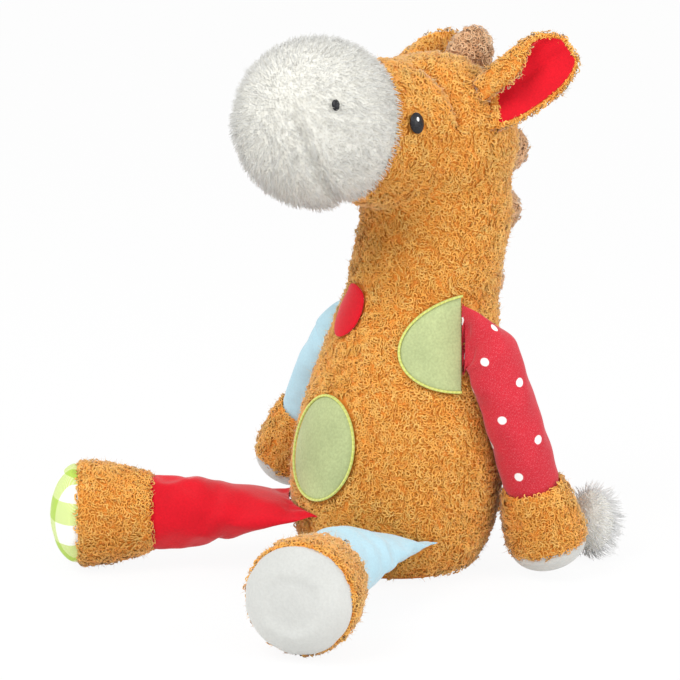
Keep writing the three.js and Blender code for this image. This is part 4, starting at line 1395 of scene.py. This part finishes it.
for side, (material, slot) in LEG_CLOTH.items():
    hip, aim = HIP * MIRROR[side], LEG_AIM * MIRROR[side]
    share = np.linspace(0, 1.06, 30)
    path = hip + np.outer(share * LEG_LENGTH, aim)
    wide = mix(HIP_HALF_WIDTH, LEG_RADIUS, smooth_step(0, 1, share))
    thick = mix(HIP_EDGE, LEG_RADIUS, 1 - (1 - np.minimum(share, 1)) ** 1.8)
    thick[-1] = wide[-1] = LEG_RADIUS - 0.6
    turn = turns(LIMB_AROUND)
    seam_middle, seam_height = HIP_SEAM[side]
    seam = on_torso(seam_middle + HIP_SEAM_SPAN * np.cos(turn), seam_height + 1.5 * np.sin(turn), 0.5)
    shell = rings(path, np.cross([0, 0, 1], aim), [0, 0, 1], wide, thick, LIMB_AROUND)
    shell = sewn_to(shell, seam, 0.5)
    shell = rumpled(shell, path, 0.9 * np.sin(math.pi * share / share[-1]))
    leg = cloth_tube(f"{side}_leg_cloth", shell, material)
    bend_between(leg)
    dress(leg, replaced=[f"{side}_leg", f"{side}_leg_stuffing"])
    fleece_end(
        side, "foot", "sole", f"{side}_leg_body", hip + aim * LEG_LENGTH, aim, [0, 0, 1],
        FOOT_SIZE, *SOLE_CLOTH[side], 81 if side == "left" else 86,
    )

# Tail: a fleece cord with a fan of long white hair

TAIL_ROOT = np.array([0, 54.99, 22])
TAIL_ROUTE = [[0, 0, 0], [8, 15, -1], [28, 27, -3], [57, 31, -5]]
TAIL_RADIUS = 5
TUFT_CORE = (10, 11, 15.5)
TUFT_SHIFT = np.array([-5, -1, 1.5])
TUFT_HAIR = (3.5, 8.5)
TUFT_HAIR_WIDTH = 0.55
TUFT_HAIR_SPACING = 1.1
TUFT_SHADING = np.array([0.5, -0.4, 1.1])

path = through_points(TAIL_ROOT + TAIL_ROUTE, 40)
along, across, through = frames_along(path, [0, 0, 1])
cord_rings = rings(path, across, through, TAIL_RADIUS - 1.6, TAIL_RADIUS - 1.6, 20)
cord = tube(cord_rings, path[0] - along[0], path[-1] + along[-1])
tail_core = rounded(shaped("tail_core", *cord, fleece_ground))
spots, normals = spread_over(tail_core.data, CURL_SPACING, 91)
tail_fleece = curls("tail_fleece", spots, normals, fleece, 92)

points, faces = ball([0, 0, 0], TUFT_CORE, 24, 32)
points = path[-1] + TUFT_SHIFT + points @ np.array([across[-1], along[-1], -through[-1]])
tuft_skin = shaped("tail_tuft_skin", points, faces, white_ground)
roots, out = spread_over(tuft_skin.data, TUFT_HAIR_SPACING, 93)
rng = np.random.default_rng(93)
aims = unit(out + 0.7 * along[-1] + rng.normal(0, 0.2, roots.shape))
tail_strands = hair_strands(
    roots,
    unit(out + TUFT_SHADING),
    aims,
    rng.uniform(*TUFT_HAIR, len(roots)),
    TUFT_HAIR_WIDTH,
    94,
    bend=rng.normal(0, 0.12, roots.shape),
    soft=0.9,
    steps=4,
    clump=3,
)
tail_hair = strands("tail_hair", lit_tail_pile, tail_strands)
for obj in (tail_core, tail_fleece, tuft_skin, tail_hair):
    rests_on_floor(obj)
dress(tuft_skin, "tail")
dress(tail_core, "tail", ["tail_cord"])
dress(tail_fleece, "tail")
dress(tail_hair, "tail", replaced=["tail_tuft"])

# The squeaker inside keeps its solids, in moulded plastic

squeaker_plastic = velour_material("squeaker_plastic", colour(236, 232, 214), 0.05, 0.4, 0.0)
for name in ("squeaker_bulb", "squeaker_reed"):
    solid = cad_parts[name]
    solid.data.materials.clear()
    solid.data.materials.append(squeaker_plastic)

# Floor, lights and camera

CAMERA_AT = (0.8841, -0.7190, 0.3370)
CAMERA_AIM = (-0.0305, -0.0092, 0.1085)
FOCAL_PIXELS, FRAME_PIXELS = 2400, 680
FLOOR_HALF = 6000

floor_corners = [(FLOOR_HALF * x, FLOOR_HALF * y, 0) for x, y in ((-1, -1), (1, -1), (1, 1), (-1, 1))]
floor_material, tree, shader = new_material("floor", 0.9, 0.0, 0.0)
shader.inputs["Base Color"].default_value = (0.92, 0.92, 0.92, 1)
rays = node(tree, "ShaderNodeLightPath", {})
glow = node(tree, "ShaderNodeEmission", {0: (1, 1, 1, 1), 1: 1.0}).outputs[0]
seen = maths(tree, "MULTIPLY", rays.outputs["Is Camera Ray"], 0.93)
shown = node(tree, "ShaderNodeMixShader", {0: seen, 1: shader.outputs[0], 2: glow}).outputs[0]
tree.links.new(shown, tree.nodes["Material Output"].inputs[0])
floor = shaped("floor", floor_corners, [(0, 1, 2, 3)], floor_material)

world = bpy.data.worlds.new("studio")
bpy.context.scene.world = world
world.use_nodes = True
tree = world.node_tree
rays = node(tree, "ShaderNodeLightPath", {})
bright = maths(tree, "MAXIMUM", rays.outputs["Is Camera Ray"], rays.outputs["Is Glossy Ray"])
strength = node(tree, "ShaderNodeMapRange", {0: bright, 1: 0.0, 2: 1.0, 3: 0.8, 4: 1.0}).outputs[0]
background = tree.nodes["Background"]
background.inputs[0].default_value = (1, 1, 1, 1)
tree.links.new(strength, background.inputs[1])


def aimed(name, data, at, aim):
    obj = bpy.data.objects.new(name, data)
    obj.location = at
    obj.rotation_euler = (Vector(aim) - Vector(at)).to_track_quat("-Z", "Y").to_euler()
    bpy.context.scene.collection.objects.link(obj)
    return obj


def area_light(name, at, aim, size, watts):
    lamp = bpy.data.lights.new(name, "AREA")
    lamp.shape = "DISK"
    lamp.size = size
    lamp.energy = watts
    aimed(name, lamp, at, aim)


area_light("key", (0.2, -0.9, 1.1), (0, 0, 0.1), 0.7, 9)
area_light("fill", (1.2, 0.3, 0.7), (0, 0, 0.1), 0.8, 6)

camera_data = bpy.data.cameras.new("camera")
camera_data.sensor_width = 36
camera_data.lens = FOCAL_PIXELS / FRAME_PIXELS * camera_data.sensor_width
bpy.context.scene.camera = aimed("camera", camera_data, CAMERA_AT, CAMERA_AIM)
bpy.context.scene.view_settings.view_transform = "Standard"
